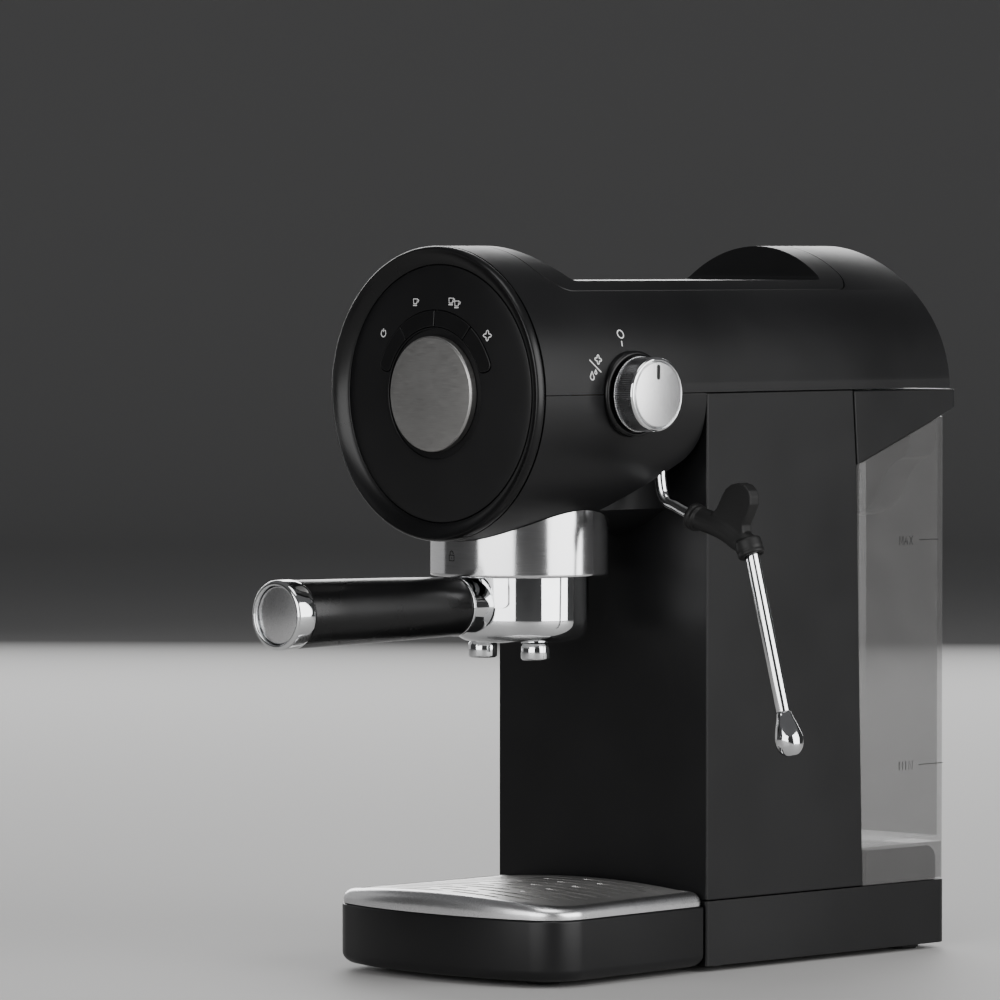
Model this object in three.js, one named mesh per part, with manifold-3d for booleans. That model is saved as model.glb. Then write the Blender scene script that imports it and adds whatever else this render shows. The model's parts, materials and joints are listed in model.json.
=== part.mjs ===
// Slim single-group espresso machine: round head, slim column, steam wand, portafilter, rear water tank.
// Millimetres, +Z up. The machine is drawn with X = 0 on its centre plane, Y = 0 on the column's front
// face (the front is towards -Y) and Z = 0 on the underside of the base, then moved as a whole so that
// the origin is the middle of its footprint, on the surface that the feet rest on.
import * as THREE from 'three';
import { mergeVertices } from 'three/addons/utils/BufferGeometryUtils.js';
import Module from 'manifold-3d';

const wasm = await Module();
wasm.setup();

// Driving dimensions
const GAP = 0.3;
const WALL = 2.6;
const HALF_WIDTH = 61.57;
const SEAM_Z = 242;
const BASE_TOP = 27.5;
const BASE_REAR = 155;
const FOOT_HEIGHT = 2.5;
const HEAD_FRONT = -96.8;
const COVER_ARC = 152;
const COVER_REAR = 154.8;
const SHELF_Z = 289;
const SHELF_HALF = 44;
const SHELF_FRONT = -75.4;
const SHELF_REAR = 110;
const GROUP_Y = -49.6;
const SHROUD_R = 37.9;
const SHROUD_Z = 165.1;
const CUP_R = 29.1;
const CUP_Z = 137.2;
const FERRULE_R = 11.7;
const HANDLE_Z = 153;
const HANDLE_END = -191.8;
const KNOB_Y = -44.5;
const KNOB_R = 15.5;
const KNOB_FACE = 75.5;
const WAND_X = 50;
const WAND_Y = -16;
const TRAY_RIM_Z = 25.5;
const BUTTON_STEP = 36.5;
const BUTTON_INNER = 27.7;
const BUTTON_OUTER = 35.1;
const TANK_FLOOR = 44;
const TANK_TOP = 231;

const degrees = THREE.MathUtils.degToRad;
const point = (x, y, z) => new THREE.Vector3(x, y, z);

// Sizes of the assemblies, shared by their pieces and their neighbours'
const COLUMN = { low: BASE_TOP + GAP, rearLow: 98.7, rearMid: 94.2, rearTop: 91.9, midZ: 209.5 };

const SPOUT = { x: 15.6, y: -56.2 };
const INLET = { x: -44, z: 14, bore: 6.4 };
const PANEL = { apex: -101.5, dome: 0.0014, recess: 27.1 };
const DOCK = { half: 58.9, front: 104, rear: 149.4, top: 42.5, valveY: 126 };
const PUMP = { x: -12, y: 46 };
const TRAY = {
  rear: -0.6, rearHalf: 61.5, wide: 66.6, floor: 8, crownZ: 34.2, crownR: 560,
  slotRows: [[-12, 48], [-21, 49], [-30, 50], [-39, 51], [-48, 52], [-57, 52.5], [-66, 53], [-75, 52],
    [-84, 46], [-92, 34]],
};
const TANK = { low: BASE_TOP + GAP, front: 94 };
const WELL = { front: 134, top: 229.2 };
const WAND = {
  pipeEnd: point(67.6, WAND_Y, 191.1),
  gripEnd: point(102.1, WAND_Y, 175),
  tip: point(124.7, WAND_Y, 92.8),
  tubeReach: 66.4,
};

// Colour, roughness and metalness of each material
const materials = {
  body: [0x1d1d1f, 0.42, 0],
  gloss: [0x0b0b0c, 0.18, 0],
  grip: [0x121213, 0.55, 0],
  rubber: [0x151515, 0.85, 0],
  chrome: [0xd8dadc, 0.12, 1],
  satin: [0xa9abad, 0.34, 1],
  brass: [0xb08d4a, 0.35, 1],
  aluminium: [0xb9bbbe, 0.45, 1],
  tank: [0x3a3c40, 0.12, 0],
  board: [0x1f4d2e, 0.6, 0],
  hose: [0xe6e6e2, 0.5, 0],
};

// Solids

function solidOf(geometry) {
  const bare = geometry.clone();
  bare.deleteAttribute('normal');
  bare.deleteAttribute('uv');
  const merged = mergeVertices(bare, 1e-4);
  const positions = merged.attributes.position.array;
  const corner = (i) => new THREE.Vector3().fromArray(positions, 3 * i);
  const triangles = [];
  let volume = 0;
  for (let i = 0; i < merged.index.count; i += 3) {
    const [a, b, c] = merged.index.array.slice(i, i + 3);
    if (a === b || b === c || c === a) continue;
    triangles.push([a, b, c]);
    volume += corner(a).dot(corner(b).cross(corner(c)));
  }
  const outward = volume > 0 ? triangles : triangles.map(([a, b, c]) => [a, c, b]);
  return new wasm.Manifold(new wasm.Mesh({
    numProp: 3,
    vertProperties: new Float32Array(positions),
    triVerts: new Uint32Array(outward.flat()),
  }));
}

function geometryOf(solid) {
  const mesh = solid.getMesh();
  const geometry = new THREE.BufferGeometry();
  geometry.setAttribute('position', new THREE.BufferAttribute(mesh.vertProperties, 3));
  geometry.setIndex(new THREE.BufferAttribute(mesh.triVerts, 1));
  geometry.computeVertexNormals();
  return geometry;
}

const union = (...solids) => solids.reduce((all, next) => all.add(next));
const cut = (solid, ...tools) => tools.reduce((all, next) => all.subtract(next), solid);

function box(x0, x1, y0, y1, z0, z1) {
  const geometry = new THREE.BoxGeometry(x1 - x0, y1 - y0, z1 - z0);
  return solidOf(geometry.translate((x0 + x1) / 2, (y0 + y1) / 2, (z0 + z1) / 2));
}

// A closed outline turned about an axis through centre; each profile point is [radius, along the axis].
function lathe(axis, centre, profile, sides = 28) {
  const points = profile.map(([radius, along]) => new THREE.Vector2(radius, along));
  const touchesAxis = profile[0][0] === 0 && profile.at(-1)[0] === 0;
  const outline = touchesAxis ? points : [...points, points[0].clone()];
  const geometry = new THREE.LatheGeometry(outline, sides);
  if (axis === 'z') geometry.rotateX(Math.PI / 2);
  if (axis === 'x') geometry.rotateZ(-Math.PI / 2);
  return solidOf(geometry.translate(centre.x, centre.y, centre.z));
}

function cylinder(axis, centre, radius, from, to, sides = 24) {
  return lathe(axis, centre, [[0, from], [radius, from], [radius, to], [0, to]], sides);
}

function ring(axis, centre, inner, outer, from, to, sides = 28) {
  return lathe(axis, centre, [[inner, from], [outer, from], [outer, to], [inner, to]], sides);
}

// An outline pushed straight along one axis. Outline coordinates: x -> (Y, Z), y -> (X, Z), z -> (X, Y).
function extrude(axis, shape, from, to, curveSegments = 4) {
  const geometry = new THREE.ExtrudeGeometry(shape, {
    depth: to - from,
    bevelEnabled: false,
    curveSegments,
  });
  geometry.translate(0, 0, from);
  const turn = new THREE.Matrix4();
  if (axis === 'x') turn.set(0, 0, 1, 0, 1, 0, 0, 0, 0, 1, 0, 0, 0, 0, 0, 1);
  if (axis === 'y') turn.set(1, 0, 0, 0, 0, 0, 1, 0, 0, 1, 0, 0, 0, 0, 0, 1);
  return solidOf(geometry.applyMatrix4(turn));
}

function polygon(corners) {
  return new THREE.Shape(corners.map(([x, y]) => new THREE.Vector2(x, y)));
}

// A rectangle with its own radius at each corner, anticlockwise from the low-x, low-y one.
function roundedRectangle(x0, x1, y0, y1, [r00, r10, r11, r01]) {
  const shape = new THREE.Shape();
  shape.moveTo(x0 + r00, y0);
  shape.lineTo(x1 - r10, y0);
  shape.absarc(x1 - r10, y0 + r10, r10, -Math.PI / 2, 0);
  shape.lineTo(x1, y1 - r11);
  shape.absarc(x1 - r11, y1 - r11, r11, 0, Math.PI / 2);
  shape.lineTo(x0 + r01, y1);
  shape.absarc(x0 + r01, y1 - r01, r01, Math.PI / 2, Math.PI);
  shape.lineTo(x0, y0 + r00);
  shape.absarc(x0 + r00, y0 + r00, r00, Math.PI, Math.PI * 1.5);
  return shape;
}

// A round tube of the given radius along a smooth curve through points.
function tube(points, radius, steps, sides = 12) {
  const section = new THREE.Shape();
  section.absarc(0, 0, radius, 0, 2 * Math.PI);
  const curve = new THREE.CatmullRomCurve3(points, false, 'centripetal');
  const geometry = new THREE.ExtrudeGeometry(section, {
    extrudePath: curve,
    steps,
    curveSegments: sides / 2,
  });
  return solidOf(geometry);
}

// A straight round bar turned about the line from start to end; profile is [radius, share of length].
function turnedBar(start, end, profile, sides = 32) {
  const length = start.distanceTo(end);
  const outline = profile.map(([radius, share]) => new THREE.Vector2(radius, share * length));
  const geometry = new THREE.LatheGeometry(outline, sides);
  const along = end.clone().sub(start).normalize();
  geometry.applyQuaternion(new THREE.Quaternion().setFromUnitVectors(point(0, 1, 0), along));
  return solidOf(geometry.translate(start.x, start.y, start.z));
}

// Scene graph

const machine = new THREE.Group();

function add(name, solid, look) {
  const [color, roughness, metalness] = materials[look];
  const material = new THREE.MeshStandardMaterial({ color, roughness, metalness });
  const mesh = new THREE.Mesh(geometryOf(solid), material);
  mesh.name = name;
  machine.add(mesh);
}

const headAxis = point(0, 0, SEAM_Z);
const groupAxis = point(0, GROUP_Y, 0);

// Everything inside the head's cylinder of this radius, between two Y values.
const drum = (radius, from, to) => cylinder('y', headAxis, radius, from, to, 64);
const below = (z) => box(-200, 200, -300, 300, -100, z);
const above = (z) => box(-200, 200, -300, 300, z, 500);

// Base, feet and bottom plate

const FOOT_PLACES = [[-42, -78], [42, -78], [-48, 138], [48, 138]];
const SCREW_PLACES = [[-50, 16], [50, 16], [-30, 142], [30, 142]];
const PLATE = { half: 57.8, front: 3.2, rear: 151.8, low: 0.4, high: 2.4 };

function base() {
  const outline = roundedRectangle(-HALF_WIDTH, HALF_WIDTH, 0, BASE_REAR, [1.5, 1.5, 7, 7]);
  const inside = roundedRectangle(
    -HALF_WIDTH + WALL + 0.8, HALF_WIDTH - WALL - 0.8, 2.8, BASE_REAR - 2.8, [1, 1, 4, 4]);
  const tongue = roundedRectangle(-50, 50, -90, 1.6, [10, 10, 0.8, 0.8]);
  let chassis = extrude('z', outline, 0, BASE_TOP);
  chassis = cut(chassis, extrude('z', inside, -1, BASE_TOP - WALL));
  chassis = union(chassis, extrude('z', tongue, GAP, 4.8));
  for (const [x, y] of SCREW_PLACES) {
    chassis = union(chassis, cylinder('z', point(x, y, 0), 4, 2.7, BASE_TOP - 1, 12));
    chassis = cut(chassis, cylinder('z', point(x, y, 0), 1.8, -1, 18, 10));
  }
  for (const [x, y] of FOOT_PLACES.slice(0, 2)) {
    chassis = cut(chassis, cylinder('z', point(x, y, 0), 3, -1, 10, 10));
  }
  // The cord's inlet passes through the rear wall, and the water hose twice through the roof.
  chassis = cut(chassis, cylinder('y', point(INLET.x, 0, INLET.z), INLET.bore, 148, 160, 24));
  for (const [x, y, bore] of [[0, DOCK.valveY, 4.4], [PUMP.x, PUMP.y, 5]]) {
    chassis = cut(chassis, cylinder('z', point(x, y, 0), bore, 10, 40, 16));
  }
  add('base_chassis', chassis, 'body');

  let plate = extrude('z', roundedRectangle(-PLATE.half, PLATE.half, PLATE.front, PLATE.rear,
    [1, 1, 3.5, 3.5]), PLATE.low, PLATE.high);
  for (const [x, y] of [...SCREW_PLACES, ...FOOT_PLACES.slice(2)]) {
    plate = cut(plate, cylinder('z', point(x, y, 0), 3, -1, 4, 10));
  }
  add('bottom_plate', plate, 'body');

  SCREW_PLACES.forEach(([x, y], i) => {
    const profile = [[0, -1.4], [3.9, -1.4], [4.2, -0.9], [4.2, 0], [1.4, 0], [1.4, 14], [0, 15.2]];
    add(`bottom_screw_${i + 1}`, lathe('z', point(x, y, 0), profile, 8), 'satin');
  });

  FOOT_PLACES.forEach(([x, y], i) => {
    const profile = [[0, -FOOT_HEIGHT], [7, -FOOT_HEIGHT], [8, -1.6], [8, -GAP], [2.6, -GAP],
      [2.6, 5.4], [0, 5.4]];
    add(`foot_${i + 1}`, lathe('z', point(x, y, 0), profile, 14), 'rubber');
  });
}

// Column

function columnProfile(inset, low, high) {
  return polygon([
    [inset, low],
    [COLUMN.rearLow - inset, low],
    [COLUMN.rearMid - inset, COLUMN.midZ],
    [COLUMN.rearTop - inset, high],
    [inset, high],
  ]);
}

function column() {
  const top = SEAM_Z - GAP / 2;
  let housing = extrude('x', columnProfile(0, COLUMN.low, top), -HALF_WIDTH, HALF_WIDTH);
  const inside = HALF_WIDTH - WALL;
  housing = cut(housing, extrude('x', columnProfile(WALL, COLUMN.low - 1, top + 1), -inside, inside));
  // The head's inside opens into the column above the group.
  housing = cut(housing, drum(HALF_WIDTH - 2 * WALL, -1, 10));
  add('column_housing', housing, 'body');
}

// Head: lower shell, top cover and cup shelf

// The relief behind the group, where the steam pipe comes down, as an outline seen from the side.
function reliefShape(grow) {
  const shape = new THREE.Shape();
  shape.moveTo(5, 150);
  shape.lineTo(5, 239 + grow);
  shape.lineTo(-GAP, 239 + grow);
  shape.quadraticCurveTo(-0.6 - grow, 223 + grow, -11, 216.7 + grow);
  shape.lineTo(-50, 192.1 + grow);
  shape.lineTo(-50, 150);
  return shape;
}

function shelfPrism(grow, low) {
  const outline = roundedRectangle(-SHELF_HALF - grow, SHELF_HALF + grow, SHELF_FRONT - grow,
    SHELF_REAR + grow, [12, 12, 8, 8]);
  return extrude('z', outline, low, 330);
}

function coverProfile(inset, low) {
  const shape = new THREE.Shape();
  const top = 310;
  const centreY = COVER_REAR - COVER_ARC;
  const rise = Math.asin((top - 243.9) / (COVER_ARC - inset));
  shape.moveTo(HEAD_FRONT - 1, low);
  shape.lineTo(COVER_REAR - inset, low);
  shape.absarc(centreY, 243.9, COVER_ARC - inset, 0, rise);
  shape.lineTo(HEAD_FRONT - 1, top);
  return shape;
}

function head() {
  const shellTop = SEAM_Z - GAP / 2;
  let shell = drum(HALF_WIDTH, HEAD_FRONT, -GAP);
  const relief = extrude('x', reliefShape(0), 37, 80);
  const reliefWall = extrude('x', reliefShape(WALL), 37 - WALL, 80);
  const hollow = cut(drum(HALF_WIDTH - WALL, HEAD_FRONT - 1, 5), reliefWall);
  shell = cut(shell, hollow, relief, above(shellTop));
  shell = cut(shell, cylinder('z', groupAxis, 33.2, 150, 215, 40));
  shell = cut(shell, cylinder('z', point(WAND_X, WAND_Y, 0), 3.4, 190, 230, 20));
  shell = cut(shell, cylinder('x', point(0, KNOB_Y, SEAM_Z), 4.3, 50, 70, 24));
  add('lower_head_shell', shell, 'body');

  const coverLow = SEAM_Z + GAP / 2;
  let cover = drum(HALF_WIDTH, HEAD_FRONT, BASE_REAR + 5)
    .intersect(extrude('x', coverProfile(0, coverLow), -80, 80, 16));
  const coverHollow = drum(HALF_WIDTH - WALL, HEAD_FRONT - 1, BASE_REAR + 5)
    .intersect(extrude('x', coverProfile(WALL, coverLow - 1), -80, 80, 16));
  cover = cut(cover, coverHollow, shelfPrism(0.4, 250));
  cover = cut(cover, cylinder('x', point(0, KNOB_Y, SEAM_Z), 4.3, 50, 70, 24));
  add('top_cover', cover, 'body');

  // A flat tray for warming cups, between a sloping front wall and an upright rear one.
  const recess = polygon([[-58.4, SHELF_Z], [-72.3, 307.5], [95.6, 307.5], [95.4, SHELF_Z]]);
  let shelf = drum(HALF_WIDTH, SHELF_FRONT - 5, SHELF_REAR + 5)
    .intersect(shelfPrism(0, 283.5));
  shelf = cut(shelf, extrude('x', recess, -70, 70));
  shelf = cut(shelf, box(-37.5, 37.5, -70, 104, 280, SHELF_Z - WALL));
  add('cup_shelf', shelf, 'body');
}

// Front: bezel, panel, steel disc and four buttons

const BUTTONS = ['power', 'single', 'double', 'steam'];

// A slice of a flat ring; angle 0 is straight up and grows towards +X.
function arcShape(inner, outer, from, to) {
  const shape = new THREE.Shape();
  const start = Math.PI / 2 - degrees(from);
  const end = Math.PI / 2 - degrees(to);
  shape.absarc(0, SEAM_Z, outer, start, end, true);
  shape.absarc(0, SEAM_Z, inner, end, start, false);
  return shape;
}

const panelY = (radius) => PANEL.apex + PANEL.dome * radius * radius;

function front() {
  const bezel = lathe('y', headAxis, [
    [46, -95], [58.6, -95], [58.6, -97.1], [61.2, -97.1], [HALF_WIDTH, -97.5], [HALF_WIDTH, -99.4],
    [60.9, -101], [60.2, -101.4], [59.5, -101], [57.5, -98.9], [55, -97.6], [54, -97.3],
    [54, -95.6], [46, -95.6],
  ], 44);
  add('front_bezel', bezel, 'gloss');

  // A shallow dome, with a round recess for the disc and an arched slot for the buttons.
  const domeRadii = [53.2, 49, 44, 38, 32, PANEL.recess];
  let panel = lathe('y', headAxis, [
    [0, -98.3], [44, -98.3], [44, -95.9], [53.6, -95.9], [53.6, panelY(53.6) + 0.4],
    ...domeRadii.map((radius) => [radius, panelY(radius)]),
    [PANEL.recess, -99.4], [0, -99.4],
  ], 48);
  const slot = arcShape(BUTTON_INNER, BUTTON_OUTER, -2 * BUTTON_STEP, 2 * BUTTON_STEP);
  panel = cut(panel, extrude('y', slot, PANEL.apex - 1, -90, 20));
  add('front_panel', panel, 'gloss');

  const disc = lathe('y', headAxis, [
    [0, -99.7], [24.1, -99.7], [24.1, -102.5], [23.5, -103.06], [0, -103.06],
  ], 40);
  add('steel_disc', disc, 'satin');

  BUTTONS.forEach((name, i) => {
    const from = (i - 2) * BUTTON_STEP + 0.5;
    const to = from + BUTTON_STEP - 1;
    const cap = extrude('y', arcShape(BUTTON_INNER + GAP, BUTTON_OUTER - GAP, from, to), -100.7, -95.5, 5);
    const flange = extrude('y', arcShape(26.6, 36.4, from, to), -98, -96.8, 5);
    add(`button_${name}`, union(cap, flange), 'body');
  });

  // The control board, with one switch behind each button.
  let board = cylinder('y', headAxis, 43, -91.6, -90, 32);
  for (let i = 0; i < BUTTONS.length; i += 1) {
    const angle = degrees((i - 1.5) * BUTTON_STEP);
    const x = 31.5 * Math.sin(angle);
    const z = SEAM_Z + 31.5 * Math.cos(angle);
    board = union(board, cylinder('y', point(x, 0, z), 2.6, -93.6, -91, 12));
  }
  add('control_board', board, 'board');
}

// Brewing group: shroud, bayonet head, gasket, screen, boiler

function group() {
  const shroud = cut(
    lathe('z', groupAxis, [
      [34.4, SHROUD_Z], [SHROUD_R - 1, SHROUD_Z], [SHROUD_R, SHROUD_Z + 1], [SHROUD_R, 215], [34.4, 215],
    ], 48),
    drum(HALF_WIDTH + GAP, -150, 20),
  );
  add('group_shroud', shroud, 'satin');

  // The bayonet: a channel for the portafilter's two ears, with two gaps in the ledge below it.
  let collar = cut(
    cylinder('z', groupAxis, 32.9, 168, 203, 36),
    cylinder('z', groupAxis, 29.9, 160, 175, 36),
    cylinder('z', groupAxis, 31.9, 173.4, 186.5, 36),
  );
  for (const turn of [0, 180]) {
    const angle = degrees(turn - 45);
    const entry = solidOf(new THREE.BoxGeometry(8, 17, 8).translate(29, 0, 171).rotateZ(angle)
      .translate(0, GROUP_Y, 0));
    collar = cut(collar, entry.intersect(cylinder('z', groupAxis, 31.9, 160, 180, 36)));
  }
  collar = cut(collar, cylinder('z', groupAxis, 2, 180, 210, 16));
  add('group_head', collar, 'aluminium');
  add('group_gasket', ring('z', groupAxis, 25.2, 31.2, 182.6, 186.2), 'rubber');
  const screen = lathe('z', groupAxis, [
    [2.6, 182.4], [24.2, 182.4], [24.8, 183], [24.8, 186.2], [23.8, 186.2], [23.8, 183.6], [2.6, 183.6],
  ], 24);
  add('shower_screen', screen, 'chrome');
  add('screen_screw', lathe('z', groupAxis, [
    [0, 180.9], [4, 180.9], [4.4, 181.4], [4.4, 182.1], [1.6, 182.1], [1.6, 194], [0, 194],
  ], 20), 'chrome');

  let boiler = extrude('z', roundedRectangle(-28, 28, -82, -18, [8, 8, 8, 8]), 203.4, 236, 6);
  for (const y of [-66, GROUP_Y, -34]) boiler = union(boiler, box(-27, 27, y - 2, y + 2, 235, 242));
  add('boiler_block', boiler, 'aluminium');
}

// Portafilter

function portafilter() {
  let cup = lathe('z', groupAxis, [
    [0, CUP_Z], [21, CUP_Z], [26.5, CUP_Z + 2], [28.6, CUP_Z + 5.5], [CUP_R, CUP_Z + 10],
    [CUP_R, 181.6], [27, 181.6], [27, 146], [24, 143.4], [0, 143.4],
  ], 40);
  for (const side of [-1, 1]) {
    const ear = extrude('z', roundedRectangle(side > 0 ? 28 : -30.9, side > 0 ? 30.9 : -28, -6, 6,
      [1, 1, 1, 1]), 174, 178);
    cup = union(cup, ear.translate([0, GROUP_Y, 0]));
    cup = cut(cup, cylinder('z', point(side * SPOUT.x, GROUP_Y, 0), 3, 130, 150, 16));
  }
  // A raised pad behind the handle.
  const pad = cylinder('z', groupAxis, CUP_R + 0.8, 152.3, 167, 40)
    .intersect(box(-17.1, 17.1, GROUP_Y - 40, GROUP_Y - 20, 150, 170));
  cup = cut(union(cup, pad), cylinder('z', groupAxis, 27, 146, 190, 40));
  add('portafilter_cup', cup, 'chrome');

  const basket = lathe('z', groupAxis, [
    [0, 150], [22.5, 150], [24.6, 151.5], [25.4, 156], [26.6, 181.9], [28.8, 181.9], [28.8, 182.3],
    [25.8, 182.3], [24.8, 156.3], [24, 152.3], [22, 151], [0, 151],
  ], 24);
  add('filter_basket', basket, 'chrome');

  for (const side of [-1, 1]) {
    const profile = [[2.2, 129.8], [5.6, 129.8], [6.1, 130.6], [6.1, 135.2], [5, CUP_Z - GAP],
      [2.2, CUP_Z - GAP]];
    const name = side < 0 ? 'spout_left' : 'spout_right';
    add(name, lathe('z', point(side * SPOUT.x, SPOUT.y, 0), profile, 16), 'chrome');
  }

  const handleAxis = point(0, 0, HANDLE_Z);
  let ferrule = lathe('y', handleAxis, [
    [0, -60], [FERRULE_R, -60], [FERRULE_R, -87.8], [12.6, -88.4], [12.6, -89.3], [4.2, -89.3],
    [4.2, -110], [0, -110],
  ], 32);
  ferrule = cut(ferrule, cylinder('z', groupAxis, CUP_R + 0.8 + GAP, 130, 180, 48));
  add('handle_ferrule', ferrule, 'chrome');
  const grip = lathe('y', handleAxis, [
    [4.5, -89.6], [12.6, -89.6], [12.9, -110], [13.5, -150], [14.1, -182], [0, -182], [0, -112],
    [4.5, -112],
  ], 32);
  add('handle_grip', grip, 'grip');
  const cap = lathe('y', handleAxis, [
    [12.2, -182.3], [14.2, -182.3], [14.4, -183.5], [14.4, -190.6], [13.4, HANDLE_END],
    [12.2, HANDLE_END],
  ], 32);
  add('handle_cap', cap, 'chrome');
  const plug = lathe('y', handleAxis, [
    [0, -182.3], [11.9, -182.3], [11.9, -190.7], [11.4, -191], [0, -191],
  ], 32);
  add('handle_plug', plug, 'satin');
}

// Steam: valve, knob and wand

function steam() {
  const axis = point(0, KNOB_Y, SEAM_Z);
  let valve = box(33, 52, KNOB_Y - 8, KNOB_Y + 8, 234, 250);
  valve = cut(valve, cylinder('x', axis, 3.3, 40, 60, 20));
  add('steam_valve', valve, 'brass');
  add('valve_stem', cylinder('x', axis, 3, 40.4, 64, 20), 'brass');

  const skirt = ring('x', axis, 4.6, 18, 56, 63.4, 36);
  add('knob_collar', cut(skirt, drum(HALF_WIDTH + GAP, -100, 20)), 'gloss');

  const profile = [[3.3, 64.2], [14.9, 64.2], [KNOB_R, 64.8], [KNOB_R, 74.2], [15, 75], [13.9, 75],
    [13.9, 74.2], [0, 74.2], [0, 70], [3.3, 70]];
  add('steam_knob', lathe('x', axis, profile, 40), 'grip');
  let face = lathe('x', axis, [[0, 74.5], [13.6, 74.5], [13.6, 75.2], [13.2, KNOB_FACE], [0, KNOB_FACE]]);
  face = cut(face, box(74.9, 80, KNOB_Y - 0.9, KNOB_Y + 0.9, SEAM_Z + 4.5, SEAM_Z + 12.5));
  add('knob_face', face, 'satin');

  // The swivel nut stays with the machine, and the wand turns in it.
  add('wand_nut', ring('z', point(WAND_X, WAND_Y, 0), 2.9, 4.9, 224, 230, 20), 'brass');
  const bend = [point(WAND_X, WAND_Y, 232), point(WAND_X, WAND_Y, 214), point(WAND_X, WAND_Y, 203),
    point(52.4, WAND_Y, 197.2), point(58.4, WAND_Y, 194.4), WAND.pipeEnd];
  add('wand_pipe', tube(bend, 2.5, 14, 12), 'chrome');

  // The grip is an elbow with a collar at each end and a flat lobe to hold above the bend.
  const along = WAND.pipeEnd.clone().sub(bend[4]).normalize();
  const lean = point(0.42, 0, -0.907).normalize();
  const down = WAND.tip.clone().sub(WAND.gripEnd).normalize();
  const onAxis = (from, direction, distance) => from.clone().addScaledVector(direction, distance);
  const elbow = [onAxis(WAND.pipeEnd, along, 2), point(78, WAND_Y, 188.4), point(87, WAND_Y, 185.6),
    point(94, WAND_Y, 182), onAxis(WAND.gripEnd, lean, -4), onAxis(WAND.gripEnd, lean, -1)];
  const lobe = new THREE.Shape();
  lobe.moveTo(78, 190);
  lobe.quadraticCurveTo(84.6, 192.5, 86, 197);
  lobe.bezierCurveTo(88.6, 203.5, 92, 205.3, 96.5, 205.3);
  lobe.bezierCurveTo(101, 205.3, 103.6, 201.5, 103.6, 197.6);
  lobe.quadraticCurveTo(103.2, 194.4, 99.6, 188.4);
  lobe.lineTo(99, 181);
  lobe.lineTo(84, 185);
  const collar = [[0, 0], [5.2, 0], [5.7, 0.12], [5.7, 0.88], [5.2, 1], [0, 1]];
  const pipeCollarStart = onAxis(WAND.pipeEnd, along, GAP);
  let grip = union(
    tube(elbow, 4.9, 12, 14),
    turnedBar(pipeCollarStart, onAxis(pipeCollarStart, along, 5), collar, 20),
    turnedBar(onAxis(WAND.gripEnd, lean, -7.5), WAND.gripEnd, collar, 20),
    extrude('y', lobe, WAND_Y - 2.8, WAND_Y + 2.8, 6),
  );
  const boreStart = onAxis(WAND.gripEnd, down, -6);
  grip = cut(grip, turnedBar(boreStart, onAxis(boreStart, down, 12), [[0, 0], [3.3, 0], [3.3, 1], [0, 1]], 20));
  add('wand_grip', grip, 'grip');

  const tubeStart = onAxis(boreStart, down, GAP);
  const tubeEnd = onAxis(WAND.gripEnd, down, WAND.tubeReach);
  add('wand_tube', turnedBar(tubeStart, tubeEnd, [[0, 0], [3, 0], [3, 1], [0, 1]], 20), 'chrome');
  const nozzleStart = tubeEnd.clone().addScaledVector(down, GAP);
  const nozzle = turnedBar(nozzleStart, WAND.tip, [
    [0, 0], [3.1, 0], [3.6, 0.1], [5.6, 0.45], [6.1, 0.62], [5.4, 0.82], [3, 0.96], [0, 1],
  ], 20);
  add('wand_nozzle', nozzle, 'chrome');
}

// Water tank

function tank() {
  const sideShape = (inset, low, top) => polygon([
    [tankFront(low) + inset, low],
    [tankFront(top) + inset, top],
    [BASE_REAR - 0.2 - inset, top],
    [BASE_REAR - 0.2 - inset, low],
  ]);
  const half = HALF_WIDTH - 0.1;
  const wall = 2.2;
  const corners = (grow) => extrude('z', roundedRectangle(-half + grow, half - grow, TANK.front + grow,
    BASE_REAR - 0.2 - grow, [7, 7, 7, 7].map((r) => r - grow)), 0, 260, 8);
  const outer = extrude('x', sideShape(0, TANK.low, TANK_TOP), -half, half).intersect(corners(0));
  const inner = extrude('x', sideShape(wall, TANK_FLOOR + wall, TANK_TOP + 5), -half + wall, half - wall)
    .intersect(corners(wall));
  let body = cut(outer, inner);
  // Below the floor the skirt is open underneath and towards the column, to slide over the dock.
  body = cut(body, box(-half + wall, half - wall, 80, BASE_REAR - 0.2 - wall, 20, TANK_FLOOR));
  body = cut(body, cylinder('z', point(0, DOCK.valveY, 0), 1.9, TANK_FLOOR - 2, TANK_FLOOR + 5, 24));
  // The cap's sloping underside closes the top.
  body = cut(body, extrude('x', capShape(-GAP), -80, 80));
  body = cut(body, above(229.5));
  body = cut(body, extrude('y', wellShape(-1), WELL.front, BASE_REAR + 10, 4));
  add('tank_body', body, 'tank');

  let cap = extrude('x', capShape(0), -half, half);
  // The finger well hangs inside the tank behind the cap, open through the tank's rear wall.
  const wellBlock = extrude('y', wellShape(2.2), WELL.front, BASE_REAR - 3.6, 4);
  const pocket = extrude('y', wellShape(0), WELL.front + 2.2, BASE_REAR + 10, 4);
  cap = union(cap, wellBlock.intersect(below(WELL.top)));
  cap = cut(cap, pocket.intersect(below(WELL.top - 2)));
  add('tank_cap', cap, 'body');

  add('tank_valve', lathe('z', point(0, DOCK.valveY, 0), [
    [0, 42.9], [1.5, 42.9], [1.5, TANK_FLOOR + wall + GAP], [6.6, TANK_FLOOR + wall + GAP],
    [6.6, 49], [0, 49],
  ], 24), 'hose');

  let dock = extrude('x', dockShape(), -DOCK.half, DOCK.half, 6);
  dock = cut(dock, cylinder('z', point(0, DOCK.valveY, 0), 4.4, 20, 60, 20));
  add('tank_dock', dock, 'body');
}

// Drip tray and its grille

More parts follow.
